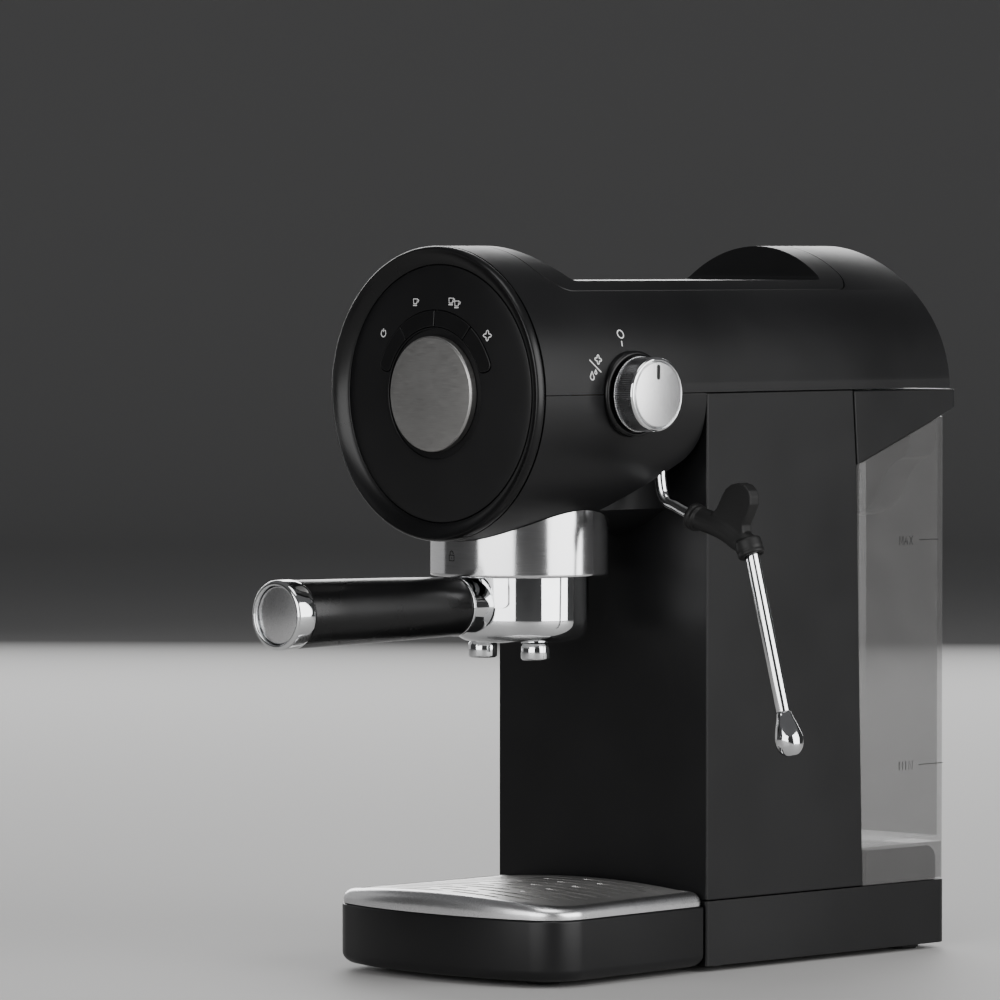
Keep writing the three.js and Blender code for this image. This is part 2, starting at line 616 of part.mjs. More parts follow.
// The tray seen from above: a bowed front, round corners and sides that narrow to the column.
function trayShape(inset) {
  const shape = new THREE.Shape();
  const rear = TRAY.rear - inset;
  const side = (y) => TRAY.rearHalf + (TRAY.wide - TRAY.rearHalf) * (TRAY.rear - y) / 75 - inset;
  shape.moveTo(-side(rear), rear);
  shape.lineTo(-side(-74), -74);
  shape.bezierCurveTo(-TRAY.wide - 1.4 + inset, -92 + inset * 0.8, -58 + inset, -98 + inset,
    -44 + inset * 0.6, -102 + inset);
  shape.quadraticCurveTo(0, -114 + inset, 44 - inset * 0.6, -102 + inset);
  shape.bezierCurveTo(58 - inset, -98 + inset, TRAY.wide + 1.4 - inset, -92 + inset * 0.8,
    side(-74), -74);
  shape.lineTo(side(rear), rear);
  return shape;
}

// The plate's crown: an arc across the machine that falls towards both sides.
function crownShape(inset) {
  const shape = new THREE.Shape();
  const half = 80;
  const edgeZ = TRAY.crownZ - (half * half) / (2 * TRAY.crownR) - inset;
  shape.moveTo(-half, 0);
  shape.lineTo(-half, edgeZ);
  shape.quadraticCurveTo(0, 2 * (TRAY.crownZ - inset) - edgeZ, half, edgeZ);
  shape.lineTo(half, 0);
  return shape;
}

function tray() {
  let tub = extrude('z', trayShape(0), 0, TRAY_RIM_Z, 8);
  tub = cut(tub, extrude('z', trayShape(2.4), TRAY.floor, TRAY_RIM_Z + 5, 8));
  // Underneath, the tray is open at the rear to pass over the base's tongue.
  tub = cut(tub, box(-50.6, 50.6, -90.6, 10, -5, TRAY.floor - 2.2));
  add('drip_tray', tub, 'body');

  // A shallow crowned plate with a rolled rim, on a skirt that sits inside the tray.
  const dome = extrude('y', crownShape(0), -130, 10, 10);
  const domeUnder = extrude('y', crownShape(1.6), -130, 10, 10);
  let plate = extrude('z', trayShape(0.4), TRAY_RIM_Z + GAP, 40, 8).intersect(dome);
  const hollow = extrude('z', trayShape(4), TRAY_RIM_Z - 5, 40, 8).intersect(domeUnder);
  plate = cut(plate, hollow);
  const skirt = cut(extrude('z', trayShape(3), TRAY_RIM_Z - 3, TRAY_RIM_Z + 2, 8),
    extrude('z', trayShape(4.2), TRAY_RIM_Z - 5, TRAY_RIM_Z + 5, 8));
  plate = union(plate, skirt);
  TRAY.slotRows.forEach(([y, half], i) => {
    const ends = i % 2 === 0 ? [[-half, -4], [4, half]] : [[-half, -half / 3 - 3],
      [-half / 3 + 3, half / 3 - 3], [half / 3 + 3, half]];
    for (const [x0, x1] of ends) {
      plate = cut(plate, box(x0, x1, y - 1.6, y + 1.6, 20, 45));
    }
  });
  add('drip_plate', plate, 'satin');
}

// Pump, hoses and power

function inside() {
  const pumpAxis = point(PUMP.x, PUMP.y, 0);
  const pump = union(
    lathe('z', pumpAxis, [
      [0, 52], [6, 52], [6, 62], [14, 62], [14, 72], [10, 74], [10, 128], [14, 130], [14, 138], [5, 140],
      [5, 150], [0, 150],
    ], 16),
    box(PUMP.x - 21, PUMP.x + 21, PUMP.y - 17, PUMP.y + 17, 78, 124),
  );
  add('pump', pump, 'satin');
  add('pump_mount', ring('z', pumpAxis, 6.3, 12, 54, 61.6, 24), 'rubber');
  let bracket = box(-HALF_WIDTH + WALL + GAP, 36, PUMP.y - 14, PUMP.y + 14, 46.5, 49.5);
  bracket = union(bracket, box(-HALF_WIDTH + WALL + GAP, -HALF_WIDTH + WALL + 3.2, PUMP.y - 14,
    PUMP.y + 14, 28.1, 49.5));
  bracket = union(bracket, box(33, 36, PUMP.y - 14, PUMP.y + 14, 28.1, 49.5));
  bracket = cut(bracket, cylinder('z', pumpAxis, 7.5, 40, 60, 24));
  add('pump_bracket', bracket, 'satin');

  const supply = [point(0, DOCK.valveY, 20), point(0, DOCK.valveY - 10, 14), point(-6, 90, 10),
    point(-8, 66, 12), point(PUMP.x, PUMP.y, 26), point(PUMP.x, PUMP.y, 51.7)];
  add('supply_hose', tube(supply, 3, 20, 8), 'hose');
  const pressure = [point(PUMP.x, PUMP.y, 150.3), point(PUMP.x, PUMP.y, 172), point(-6, 44, 196),
    point(0, 22, 214), point(0, 4, 220), point(0, -17.6, 220)];
  add('pressure_hose', tube(pressure, 2.6, 16, 8), 'hose');
  const steamLine = [point(42.5, KNOB_Y + 8.5, 242), point(43, KNOB_Y + 16, 242), point(WAND_X - 3, -22, 240),
    point(WAND_X, WAND_Y, 236), point(WAND_X, WAND_Y, 232.3)];
  add('steam_line', tube(steamLine, 2, 10, 8), 'hose');

  let board = box(54.6, 56.2, 18, 78, 70, 170);
  board = union(board, box(44, 55, 24, 40, 80, 104), box(47, 55, 52, 70, 116, 132));
  add('power_board', board, 'board');

  const inletAxis = point(INLET.x, 0, INLET.z);
  add('power_inlet', lathe('y', inletAxis, [
    [3.2, 146], [INLET.bore - GAP, 146], [INLET.bore - GAP, BASE_REAR + GAP], [9, BASE_REAR + GAP],
    [9, 157.4], [8, 158.2], [3.2, 158.2],
  ], 28), 'gloss');
}

function tankFront(z) {
  const share = (z - COLUMN.low) / (COLUMN.midZ - COLUMN.low);
  return COLUMN.rearLow + GAP + share * (COLUMN.rearMid - COLUMN.rearLow);
}

// The cap's side view: a wedge over the tank with a lip at the rear.
function capShape(grow) {
  return polygon([
    [COLUMN.rearMid + GAP + 0.4, COLUMN.midZ + grow],
    [BASE_REAR + 0.6, 232.1 + grow],
    [BASE_REAR + 3.2, 233.4 + grow],
    [BASE_REAR + 3.2, 240.6],
    [BASE_REAR + 2.4, 241.4],
    [COLUMN.rearTop + GAP + 0.4, 241.4],
  ]);
}

// The well seen from behind: wide at the top, with shoulders, and narrower at the bottom.
function wellShape(grow) {
  const low = 186.8 - grow;
  const half = 55 + grow;
  const shape = new THREE.Shape();
  shape.moveTo(-half, 250);
  shape.lineTo(-half, 232);
  shape.bezierCurveTo(-half + 2, low + 22, -38 - grow, low + 24, -32 - grow, low + 12);
  shape.bezierCurveTo(-24 - grow, low + 1.2, -14, low, 0, low);
  shape.bezierCurveTo(14, low, 24 + grow, low + 1.2, 32 + grow, low + 12);
  shape.bezierCurveTo(38 + grow, low + 24, half - 2, low + 22, half, 232);
  shape.lineTo(half, 250);
  return shape;
}

function dockShape() {
  const shape = new THREE.Shape();
  shape.moveTo(DOCK.front, BASE_TOP + GAP);
  shape.lineTo(DOCK.rear, BASE_TOP + GAP);
  shape.lineTo(DOCK.rear, DOCK.top - 6);
  shape.absarc(DOCK.rear - 6, DOCK.top - 6, 6, 0, Math.PI / 2);
  shape.lineTo(DOCK.front + 3, DOCK.top);
  shape.lineTo(DOCK.front, DOCK.top - 3);
  return shape;
}

base();
column();
head();
front();
group();
portafilter();
steam();
tank();
tray();
inside();

// The machine's origin: the middle of its bounding box, on the surface below the feet.
const bounds = new THREE.Box3().setFromObject(machine);
const middle = bounds.getCenter(new THREE.Vector3());
machine.position.set(-middle.x, -middle.y, -bounds.min.z);

export default machine;
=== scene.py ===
import json
import math
import bmesh
import bpy
from mathutils import Matrix, Vector


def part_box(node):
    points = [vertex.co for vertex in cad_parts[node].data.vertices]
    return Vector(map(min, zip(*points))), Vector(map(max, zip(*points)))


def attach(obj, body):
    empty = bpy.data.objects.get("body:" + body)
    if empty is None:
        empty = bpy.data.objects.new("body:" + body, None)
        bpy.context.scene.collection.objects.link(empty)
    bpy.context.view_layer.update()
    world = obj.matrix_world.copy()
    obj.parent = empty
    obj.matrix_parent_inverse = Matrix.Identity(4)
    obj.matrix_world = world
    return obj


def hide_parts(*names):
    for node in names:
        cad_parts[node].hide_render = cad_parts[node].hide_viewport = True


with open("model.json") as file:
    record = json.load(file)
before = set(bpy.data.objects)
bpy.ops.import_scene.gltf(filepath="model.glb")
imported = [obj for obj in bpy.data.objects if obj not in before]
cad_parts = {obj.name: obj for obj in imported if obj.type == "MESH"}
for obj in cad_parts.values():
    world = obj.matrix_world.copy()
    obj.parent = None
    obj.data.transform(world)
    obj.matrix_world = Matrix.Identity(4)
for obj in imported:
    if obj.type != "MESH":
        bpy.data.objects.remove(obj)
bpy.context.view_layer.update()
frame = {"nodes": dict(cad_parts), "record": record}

# The machine is drawn in millimetres: x 0 on its centre plane, y 0 on the column's front face with the front
# towards -y, z 0 under the base. toFrame carries that drawing into the frame.
baseLow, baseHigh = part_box("base_chassis")
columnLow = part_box("column_housing")[0]
drawingOrigin = Vector(((baseLow[0] + baseHigh[0]) / 2, columnLow[1], baseLow[2]))
toFrame = Matrix.Translation(drawingOrigin) @ Matrix.Scale(0.001, 4)

# sizes that several pieces share
seamZ = 242.0
halfWidth = 61.57
headFront = -96.8
domeApex = -101.5
domeBow = 0.0014
groupY = -49.6
gap = 0.3
wall = 2.6
weldReach = 0.0005
headCentre = (0, 0, seamZ)
groupCentre = (0, groupY, 0)


def shaped(name, bm, finish, body, stands=(), bevel=0.0, steps=3, angle=32, weld=True):
    if weld:
        bmesh.ops.remove_doubles(bm, verts=bm.verts, dist=weldReach)
        bmesh.ops.recalc_face_normals(bm, faces=bm.faces)
    bm.transform(toFrame)
    mesh = bpy.data.meshes.new(name)
    bm.to_mesh(mesh)
    bm.free()
    mesh.shade_smooth()
    mesh.set_sharp_from_angle(angle=math.radians(angle))
    piece = bpy.data.objects.new(name, mesh)
    bpy.context.collection.objects.link(piece)
    mesh.materials.append(finishes[finish])
    if bevel:
        edge = piece.modifiers.new("softEdges", "BEVEL")
        edge.width = bevel / 1000
        edge.segments = steps
        edge.limit_method = "ANGLE"
        edge.angle_limit = math.radians(angle)
        edge.harden_normals = True
        edge.miter_outer = "MITER_ARC"
    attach(piece, body)
    if stands:
        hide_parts(*stands)
    return piece


axisTurn = {
    "x": Matrix(((0, 0, 1), (1, 0, 0), (0, 1, 0))).to_4x4(),      # outline (y, z), pushed along x
    "y": Matrix(((1, 0, 0), (0, 0, -1), (0, 1, 0))).to_4x4(),     # outline (x, z), pushed along -y
    "z": Matrix.Identity(4),                                      # outline (x, y), pushed along z
}


def outlineFace(corners, segments=10):
    # corners are (a, b) or (a, b, rounding); the rounding runs along both edges
    bm = bmesh.new()
    points = [bm.verts.new((corner[0], corner[1], 0)) for corner in corners]
    bm.faces.new(points)
    for point, corner in zip(points, corners):
        if len(corner) > 2 and corner[2] > 0:
            bmesh.ops.bevel(bm, geom=[point], offset=corner[2], offset_type="OFFSET", segments=segments,
                            profile=0.5, affect="VERTICES", material=-1)
    return bm


def prism(axis, corners, low, high, segments=10):
    bm = outlineFace(corners, segments)
    push = bmesh.ops.extrude_face_region(bm, geom=bm.faces[:])
    moved = [item for item in push["geom"] if isinstance(item, bmesh.types.BMVert)]
    bmesh.ops.translate(bm, verts=moved, vec=(0, 0, high - low))
    bmesh.ops.translate(bm, verts=bm.verts, vec=(0, 0, -high if axis == "y" else low))
    bm.transform(axisTurn[axis])
    bmesh.ops.recalc_face_normals(bm, faces=bm.faces)
    return bm


def turned(axis, centre, profile, steps=96, segments=5, closed=False):
    # profile points are (radius, along) or (radius, along, rounding)
    bm = bmesh.new()
    points = [bm.verts.new((point[0], 0, point[1])) for point in profile]
    for first, second in zip(points, points[1:] + (points[:1] if closed else [])):
        bm.edges.new((first, second))
    for point, spec in zip(points, profile):
        if len(spec) > 2:
            bmesh.ops.bevel(bm, geom=[point], offset=spec[2], offset_type="OFFSET", segments=segments,
                            profile=0.5, affect="VERTICES", material=-1)
    bmesh.ops.spin(bm, geom=bm.verts[:] + bm.edges[:], cent=(0, 0, 0), axis=(0, 0, 1), dvec=(0, 0, 0),
                   angle=2 * math.pi, steps=steps, use_merge=True)
    bmesh.ops.remove_doubles(bm, verts=bm.verts, dist=weldReach)
    bmesh.ops.recalc_face_normals(bm, faces=bm.faces)
    if axis == "x":
        bm.transform(Matrix.Rotation(math.pi / 2, 4, "Y"))
    if axis == "y":
        bm.transform(Matrix.Rotation(-math.pi / 2, 4, "X"))
    bmesh.ops.translate(bm, verts=bm.verts, vec=centre)
    return bm


def outlineRing(corners, segments=10):
    bm = outlineFace(corners, segments)
    bm.faces.ensure_lookup_table()
    ring = [(vert.co.x, vert.co.y) for vert in bm.faces[0].verts]
    bm.free()
    return ring


def lofted(rings, closed=False):
    # every ring is a list of (x, y, z) with the same count, and each is joined to the next
    bm = bmesh.new()
    loops = [[bm.verts.new(point) for point in ring] for ring in rings]
    pairs = list(zip(loops, loops[1:])) + ([(loops[-1], loops[0])] if closed else [])
    for low, high in pairs:
        for index in range(len(low)):
            after = (index + 1) % len(low)
            bm.faces.new((low[index], low[after], high[after], high[index]))
    if not closed:
        bm.faces.new(loops[0])
        bm.faces.new(loops[-1])
    bmesh.ops.recalc_face_normals(bm, faces=bm.faces)
    return bm


def combined(bm, tool, operation):
    holders = []
    for part in (bm, tool):
        mesh = bpy.data.meshes.new("working")
        part.to_mesh(mesh)
        part.free()
        holder = bpy.data.objects.new("working", mesh)
        bpy.context.collection.objects.link(holder)
        holders.append(holder)
    boolean = holders[0].modifiers.new("working", "BOOLEAN")
    boolean.object = holders[1]
    boolean.operation = operation
    boolean.solver = "EXACT"
    bpy.context.view_layer.update()
    seen = holders[0].evaluated_get(bpy.context.evaluated_depsgraph_get())
    result = bmesh.new()
    result.from_mesh(seen.to_mesh())
    seen.to_mesh_clear()
    for holder in holders:
        mesh = holder.data
        bpy.data.objects.remove(holder)
        bpy.data.meshes.remove(mesh)
    bmesh.ops.remove_doubles(result, verts=result.verts, dist=weldReach)
    return result


def joined(*parts):
    whole = bmesh.new()
    for part in parts:
        mesh = bpy.data.meshes.new("working")
        part.to_mesh(mesh)
        part.free()
        whole.from_mesh(mesh)
        bpy.data.meshes.remove(mesh)
    return whole


def boxed(x0, x1, y0, y1, z0, z1):
    bm = bmesh.new()
    bmesh.ops.create_cube(bm, size=1.0)
    bmesh.ops.scale(bm, verts=bm.verts, vec=(x1 - x0, y1 - y0, z1 - z0))
    bmesh.ops.translate(bm, verts=bm.verts, vec=((x0 + x1) / 2, (y0 + y1) / 2, (z0 + z1) / 2))
    return bm


def rounds(bm, test, offset, segments=4):
    bm.normal_update()
    chosen = [edge for edge in bm.edges if edge.is_manifold and edge.calc_face_angle() > math.radians(32)
              and test((edge.verts[0].co + edge.verts[1].co) / 2)]
    if chosen:
        bmesh.ops.bevel(bm, geom=chosen, offset=offset, offset_type="OFFSET", segments=segments,
                        profile=0.5, affect="EDGES", clamp_overlap=True, material=-1)
    return bm


def pipe(points, radius, resolution=10, sides=6):
    curve = bpy.data.curves.new("working", "CURVE")
    curve.dimensions = "3D"
    curve.bevel_depth = radius
    curve.bevel_resolution = sides
    curve.resolution_u = resolution
    curve.use_fill_caps = True
    spline = curve.splines.new("BEZIER")
    spline.bezier_points.add(len(points) - 1)
    for knot, place in zip(spline.bezier_points, points):
        knot.co = place
        knot.handle_left_type = knot.handle_right_type = "AUTO"
    holder = bpy.data.objects.new("working", curve)
    bpy.context.collection.objects.link(holder)
    bpy.context.view_layer.update()
    seen = holder.evaluated_get(bpy.context.evaluated_depsgraph_get())
    bm = bmesh.new()
    bm.from_mesh(seen.to_mesh())
    seen.to_mesh_clear()
    bpy.data.objects.remove(holder)
    bpy.data.curves.remove(curve)
    bmesh.ops.remove_doubles(bm, verts=bm.verts, dist=weldReach)
    bmesh.ops.recalc_face_normals(bm, faces=bm.faces)
    return bm


def nodesOf(name):
    material = bpy.data.materials.new(name)
    material.use_nodes = True
    tree = material.node_tree
    return material, tree, tree.nodes["Principled BSDF"]


def patternOn(tree, scale, stretch=(1, 1, 1), detail=4, spread=0.5):
    place = tree.nodes.new("ShaderNodeTexCoord")
    turn = tree.nodes.new("ShaderNodeMapping")
    turn.inputs["Scale"].default_value = stretch
    noise = tree.nodes.new("ShaderNodeTexNoise")
    noise.inputs["Scale"].default_value = scale
    noise.inputs["Detail"].default_value = detail
    noise.inputs["Roughness"].default_value = spread
    tree.links.new(place.outputs["Object"], turn.inputs["Vector"])
    tree.links.new(turn.outputs["Vector"], noise.inputs["Vector"])
    return noise.outputs["Fac"]


def ranged(tree, value, low, high, fromLow=0.3, fromHigh=0.7):
    span = tree.nodes.new("ShaderNodeMapRange")
    span.inputs["From Min"].default_value = fromLow
    span.inputs["From Max"].default_value = fromHigh
    span.inputs["To Min"].default_value = low
    span.inputs["To Max"].default_value = high
    tree.links.new(value, span.inputs["Value"])
    return span.outputs["Result"]


def tinted(tree, value, dark, light):
    blend = tree.nodes.new("ShaderNodeMix")
    blend.data_type = "RGBA"
    blend.inputs["A"].default_value = (*dark, 1)
    blend.inputs["B"].default_value = (*light, 1)
    tree.links.new(value, blend.inputs["Factor"])
    return blend.outputs["Result"]


def bumped(tree, shader, value, strength, distance):
    bump = tree.nodes.new("ShaderNodeBump")
    bump.inputs["Strength"].default_value = strength
    bump.inputs["Distance"].default_value = distance
    tree.links.new(value, bump.inputs["Height"])
    tree.links.new(bump.outputs["Normal"], shader.inputs["Normal"])


plastic = {"broad": 18, "brighter": 1.35, "least": 0.0008, "smoother": 0.035, "rougher": 0.045,
           "specular": 0.32, "coatRough": 0.12}
metal = {"smudge": 35, "darker": 0.86}
clear = {"haze": 60, "brighter": 1.15, "rougher": 0.05, "bend": 1.49, "strength": 0.06, "depth": 0.0002}


def plasticFinish(name, colour, rough, grain=1600, depth=0.00002, strength=0.25, coat=0.0):
    material, tree, shader = nodesOf(name)
    broad = patternOn(tree, plastic["broad"], detail=5)
    fine = patternOn(tree, grain, detail=3)
    lighter = tuple(min(1.0, channel * plastic["brighter"] + plastic["least"]) for channel in colour)
    tree.links.new(tinted(tree, ranged(tree, broad, 0, 1), colour, lighter), shader.inputs["Base Color"])
    tree.links.new(ranged(tree, broad, rough - plastic["smoother"], rough + plastic["rougher"]),
                   shader.inputs["Roughness"])
    bumped(tree, shader, fine, strength, depth)
    shader.inputs["Specular IOR Level"].default_value = plastic["specular"]
    shader.inputs["Coat Weight"].default_value = coat
    shader.inputs["Coat Roughness"].default_value = plastic["coatRough"]
    return material


def metalFinish(name, colour, rough, stretch=(1, 1, 1), grain=900, spread=0.05, depth=0.00001,
                strength=0.15, anisotropic=0.0):
    material, tree, shader = nodesOf(name)
    lines = patternOn(tree, grain, stretch, detail=6, spread=0.6)
    smudge = patternOn(tree, metal["smudge"], detail=4)
    darker = tuple(channel * metal["darker"] for channel in colour)
    tree.links.new(tinted(tree, ranged(tree, lines, 0, 1), darker, colour), shader.inputs["Base Color"])
    mixed = tree.nodes.new("ShaderNodeMath")
    mixed.operation = "ADD"
    tree.links.new(ranged(tree, lines, rough - spread, rough + spread), mixed.inputs[0])
    tree.links.new(ranged(tree, smudge, 0.0, spread), mixed.inputs[1])
    tree.links.new(mixed.outputs[0], shader.inputs["Roughness"])
    bumped(tree, shader, lines, strength, depth)
    shader.inputs["Metallic"].default_value = 1.0
    shader.inputs["Anisotropic"].default_value = anisotropic
    return material


def clearFinish(name, colour, rough, alpha):
    material, tree, shader = nodesOf(name)
    haze = patternOn(tree, clear["haze"], detail=4)
    lighter = tuple(channel * clear["brighter"] for channel in colour)
    tree.links.new(tinted(tree, ranged(tree, haze, 0, 1), colour, lighter), shader.inputs["Base Color"])
    tree.links.new(ranged(tree, haze, rough, rough + clear["rougher"]), shader.inputs["Roughness"])
    bumped(tree, shader, haze, clear["strength"], clear["depth"])
    shader.inputs["IOR"].default_value = clear["bend"]
    shader.inputs["Alpha"].default_value = alpha
    return material


finishes = {}
for name, colour, rough, extra in (
        ("body_plastic", (0.0042, 0.0042, 0.0046), 0.36, {"grain": 2200, "strength": 0.16}),
        ("bezel_black", (0.003, 0.003, 0.0033), 0.28, {"grain": 700, "strength": 0.05}),
        ("panel_black", (0.0042, 0.0042, 0.0046), 0.38, {"grain": 2600, "strength": 0.1}),
        ("button_black", (0.0034, 0.0034, 0.0037), 0.32, {"grain": 2600, "strength": 0.1}),
        ("grip_black", (0.0022, 0.0022, 0.0024), 0.29, {"grain": 900, "strength": 0.04, "coat": 0.1}),
        ("grip_rubber", (0.0045, 0.0045, 0.0045), 0.5, {"grain": 1800, "strength": 0.35}),
        ("rubber_black", (0.012, 0.012, 0.012), 0.72, {"grain": 900, "strength": 0.6}),
        ("circuit_board", (0.02, 0.1, 0.04), 0.5, {"grain": 500}),
        ("hose_white", (0.7, 0.7, 0.68), 0.4, {"grain": 400, "strength": 0.1}),
        ("print_white", (0.62, 0.62, 0.62), 0.5, {"grain": 900, "strength": 0.1}),
        ("print_dark", (0.006, 0.006, 0.006), 0.5, {"grain": 900, "strength": 0.1})):
    finishes[name] = plasticFinish(name, colour, rough, **extra)
for name, colour, rough, extra in (
        ("chrome", (0.86, 0.87, 0.88), 0.045, {"grain": 90, "spread": 0.012, "strength": 0.02}),
        ("satin_steel", (0.86, 0.86, 0.87), 0.27, {"grain": 5200, "spread": 0.02, "strength": 0.04}),
        ("disc_steel", (0.4, 0.395, 0.387), 0.36,
         {"stretch": (1, 1, 22), "grain": 150, "spread": 0.05, "strength": 0.22, "anisotropic": 0.3}),
        ("knurl_steel", (0.42, 0.42, 0.43), 0.26, {"grain": 90, "spread": 0.02, "strength": 0.02}),
        ("shroud_steel", (0.78, 0.78, 0.79), 0.13,
         {"stretch": (1, 1, 30), "grain": 90, "spread": 0.02, "strength": 0.05}),
        ("plate_steel", (0.7, 0.69, 0.68), 0.36,
         {"stretch": (1, 24, 24), "grain": 60, "spread": 0.03, "strength": 0.1, "anisotropic": 0.3}),
        ("screw_steel", (0.5, 0.5, 0.5), 0.35, {}),
        ("brass", (0.62, 0.45, 0.2), 0.3, {}),
        ("cast_aluminium", (0.6, 0.6, 0.6), 0.5, {"grain": 600, "strength": 0.5, "depth": 0.00004})):
    finishes[name] = metalFinish(name, colour, rough, **extra)
finishes["tank_smoke"] = clearFinish("tank_smoke", (0.15, 0.148, 0.147), 0.05, 0.36)
print("finishes ready")

slotOf = {entry["node"]: entry["material_slot"] for entry in frame["record"]["subparts"]}
for nodeName, node in frame["nodes"].items():
    finish = finishes[slotOf[nodeName]]
    if node.material_slots:
        for place in node.material_slots:
            place.material = finish
    else:
        node.data.materials.append(finish)



def drum(radius, low, high, steps=192):
    return turned("y", headCentre, [(0, low), (radius, low), (radius, high), (0, high)], steps)


cover = {"rear": 154.8, "arc": 152.0, "arcZ": 243.9, "arcSteps": 24, "roof": 312, "end": 162, "edge": 2.4,
         "bevel": 0.75}
shelf = {"top": 289.0, "under": 283.5, "half": 44.0, "front": -75.4, "rear": 110.0, "corner": 13,
         "rearCorner": 8, "ramp": -58.4, "back": 95.4, "pocket": 37.5, "slack": 0.35, "bevel": 0.7}


def coverSide(inset, low):
    # the cover seen from the side: flat front, long roof and a rounded back
    reach = cover["arc"] - inset
    lean = math.asin((cover["roof"] - cover["arcZ"]) / reach)
    centre = cover["rear"] - cover["arc"]
    steps = cover["arcSteps"]
    turns = [lean * step / steps for step in range(steps + 1)]
    back = [(centre + reach * math.cos(turn), cover["arcZ"] + reach * math.sin(turn)) for turn in turns]
    front = headFront - 2
    return [(front, low), (cover["rear"] - inset, low)] + back + [(front, cover["roof"])]


def shelfOutline(grow):
    half = shelf["half"] + grow
    front = shelf["front"] - grow
    rear = shelf["rear"] + grow
    corner, rearCorner = shelf["corner"], shelf["rearCorner"]
    return [(-half, front, corner), (half, front, corner), (half, rear, rearCorner), (-half, rear, rearCorner)]


def makeHead():
    low = seamZ + gap / 2
    body = combined(drum(halfWidth, headFront, cover["end"]), prism("x", coverSide(0, low), -80, 80),
                    "INTERSECT")
    # only the edge of the rounded back, above the seam
    rounds(body, lambda spot: spot.y > 120 and spot.z > 246, cover["edge"], 6)
    hollow = combined(drum(halfWidth - wall, headFront - 1, cover["end"]),
                      prism("x", coverSide(wall, low - 1), -78, 78), "INTERSECT")
    body = combined(body, hollow, "DIFFERENCE")
    body = combined(body, prism("z", shelfOutline(shelf["slack"]), 250, 320), "DIFFERENCE")
    shaped("headCover", body, "body_plastic", "machine", ["top_cover"], bevel=cover["bevel"], steps=4)

    high = seamZ - gap / 2
    shell = combined(drum(halfWidth, headFront, -gap), boxed(-90, 90, -200, 20, high, 330), "DIFFERENCE")
    # beside the column the shell sweeps up behind the knob; the inner outline leaves its wall
    relief = [(5, 150), (5, 239), (-gap, 239, 3), (-0.9, 217.6, 9), (-50, 186.6), (-50, 150)]
    reliefWall = [(5, 150), (5, 242), (-gap - wall, 242, 3), (-1.4 - wall, 219.9, 9), (-52, 188.2), (-52, 150)]
    inner = combined(drum(halfWidth - wall, headFront - 1, 5), prism("x", reliefWall, 34.4, 80), "DIFFERENCE")
    shell = combined(shell, inner, "DIFFERENCE")
    shell = combined(shell, prism("x", relief, 37, 80), "DIFFERENCE")
    shell = combined(shell, turned("z", groupCentre, [(0, 150), (33.2, 150), (33.2, 215), (0, 215)], 96),
                     "DIFFERENCE")
    shaped("headShell", shell, "body_plastic", "machine", ["lower_head_shell"], bevel=cover["bevel"], steps=4)

    top, pocket = shelf["top"], shelf["pocket"]
    ledge = combined(drum(halfWidth, -82, 116), prism("z", shelfOutline(0), shelf["under"], 330), "INTERSECT")
    recess = [(shelf["ramp"], top, 2.5), (-72.3, 307.5), (97.4, 307.5), (shelf["back"], top, 2.0)]
    ledge = combined(ledge, prism("x", recess, -70, 70), "DIFFERENCE")
    ledge = combined(ledge, boxed(-pocket, pocket, -70, 104, 280, top - wall), "DIFFERENCE")
    shaped("cupShelf", ledge, "body_plastic", "machine", ["cup_shelf"], bevel=shelf["bevel"], steps=4)
    print("head made")


dial = {"step": 36.5, "inner": 27.7, "outer": 35.1, "recess": 27.1, "edge": 53.3, "lip": 53.6,
        "hub": -99.4, "slotEnd": 3.0, "capEnd": 2.7, "slack": 0.35, "proud": 0.35, "flange": (26.6, 36.4)}
ink = {"line": 0.42, "thick": 0.05}


def domeY(radius):
    return domeApex + domeBow * radius * radius


def arcOutline(inner, outer, start, end, atStart=0.0, atEnd=0.0):
    # part of a flat ring seen from the front, with rounded ends; 0 degrees is straight up, towards +x
    middle = (inner + outer) / 2
    low, high = math.radians(start) * middle, math.radians(end) * middle
    flat = []
    for along, radius, rounding, turn in ((low, outer, atStart, 180), (high, outer, atEnd, 90),
                                          (high, inner, atEnd, 0), (low, inner, atStart, -90)):
        inward = 1 if along == low else -1
        across = -1 if radius == outer else 1
        steps = 8 if rounding else 0
        for step in range(steps + 1):
            angle = math.radians(turn - 90 * step / max(1, steps))
            flat.append((along + inward * rounding + rounding * math.cos(angle),
                         radius + across * rounding + rounding * math.sin(angle)))
    dense = []
    for first, second in zip(flat, flat[1:] + flat[:1]):
        pieces = max(1, int(abs(second[0] - first[0]) / 0.6))
        dense += [(first[0] + (second[0] - first[0]) * step / pieces,
                   first[1] + (second[1] - first[1]) * step / pieces) for step in range(pieces)]
    return [(radius * math.sin(along / middle), seamZ + radius * math.cos(along / middle))
            for along, radius in dense]


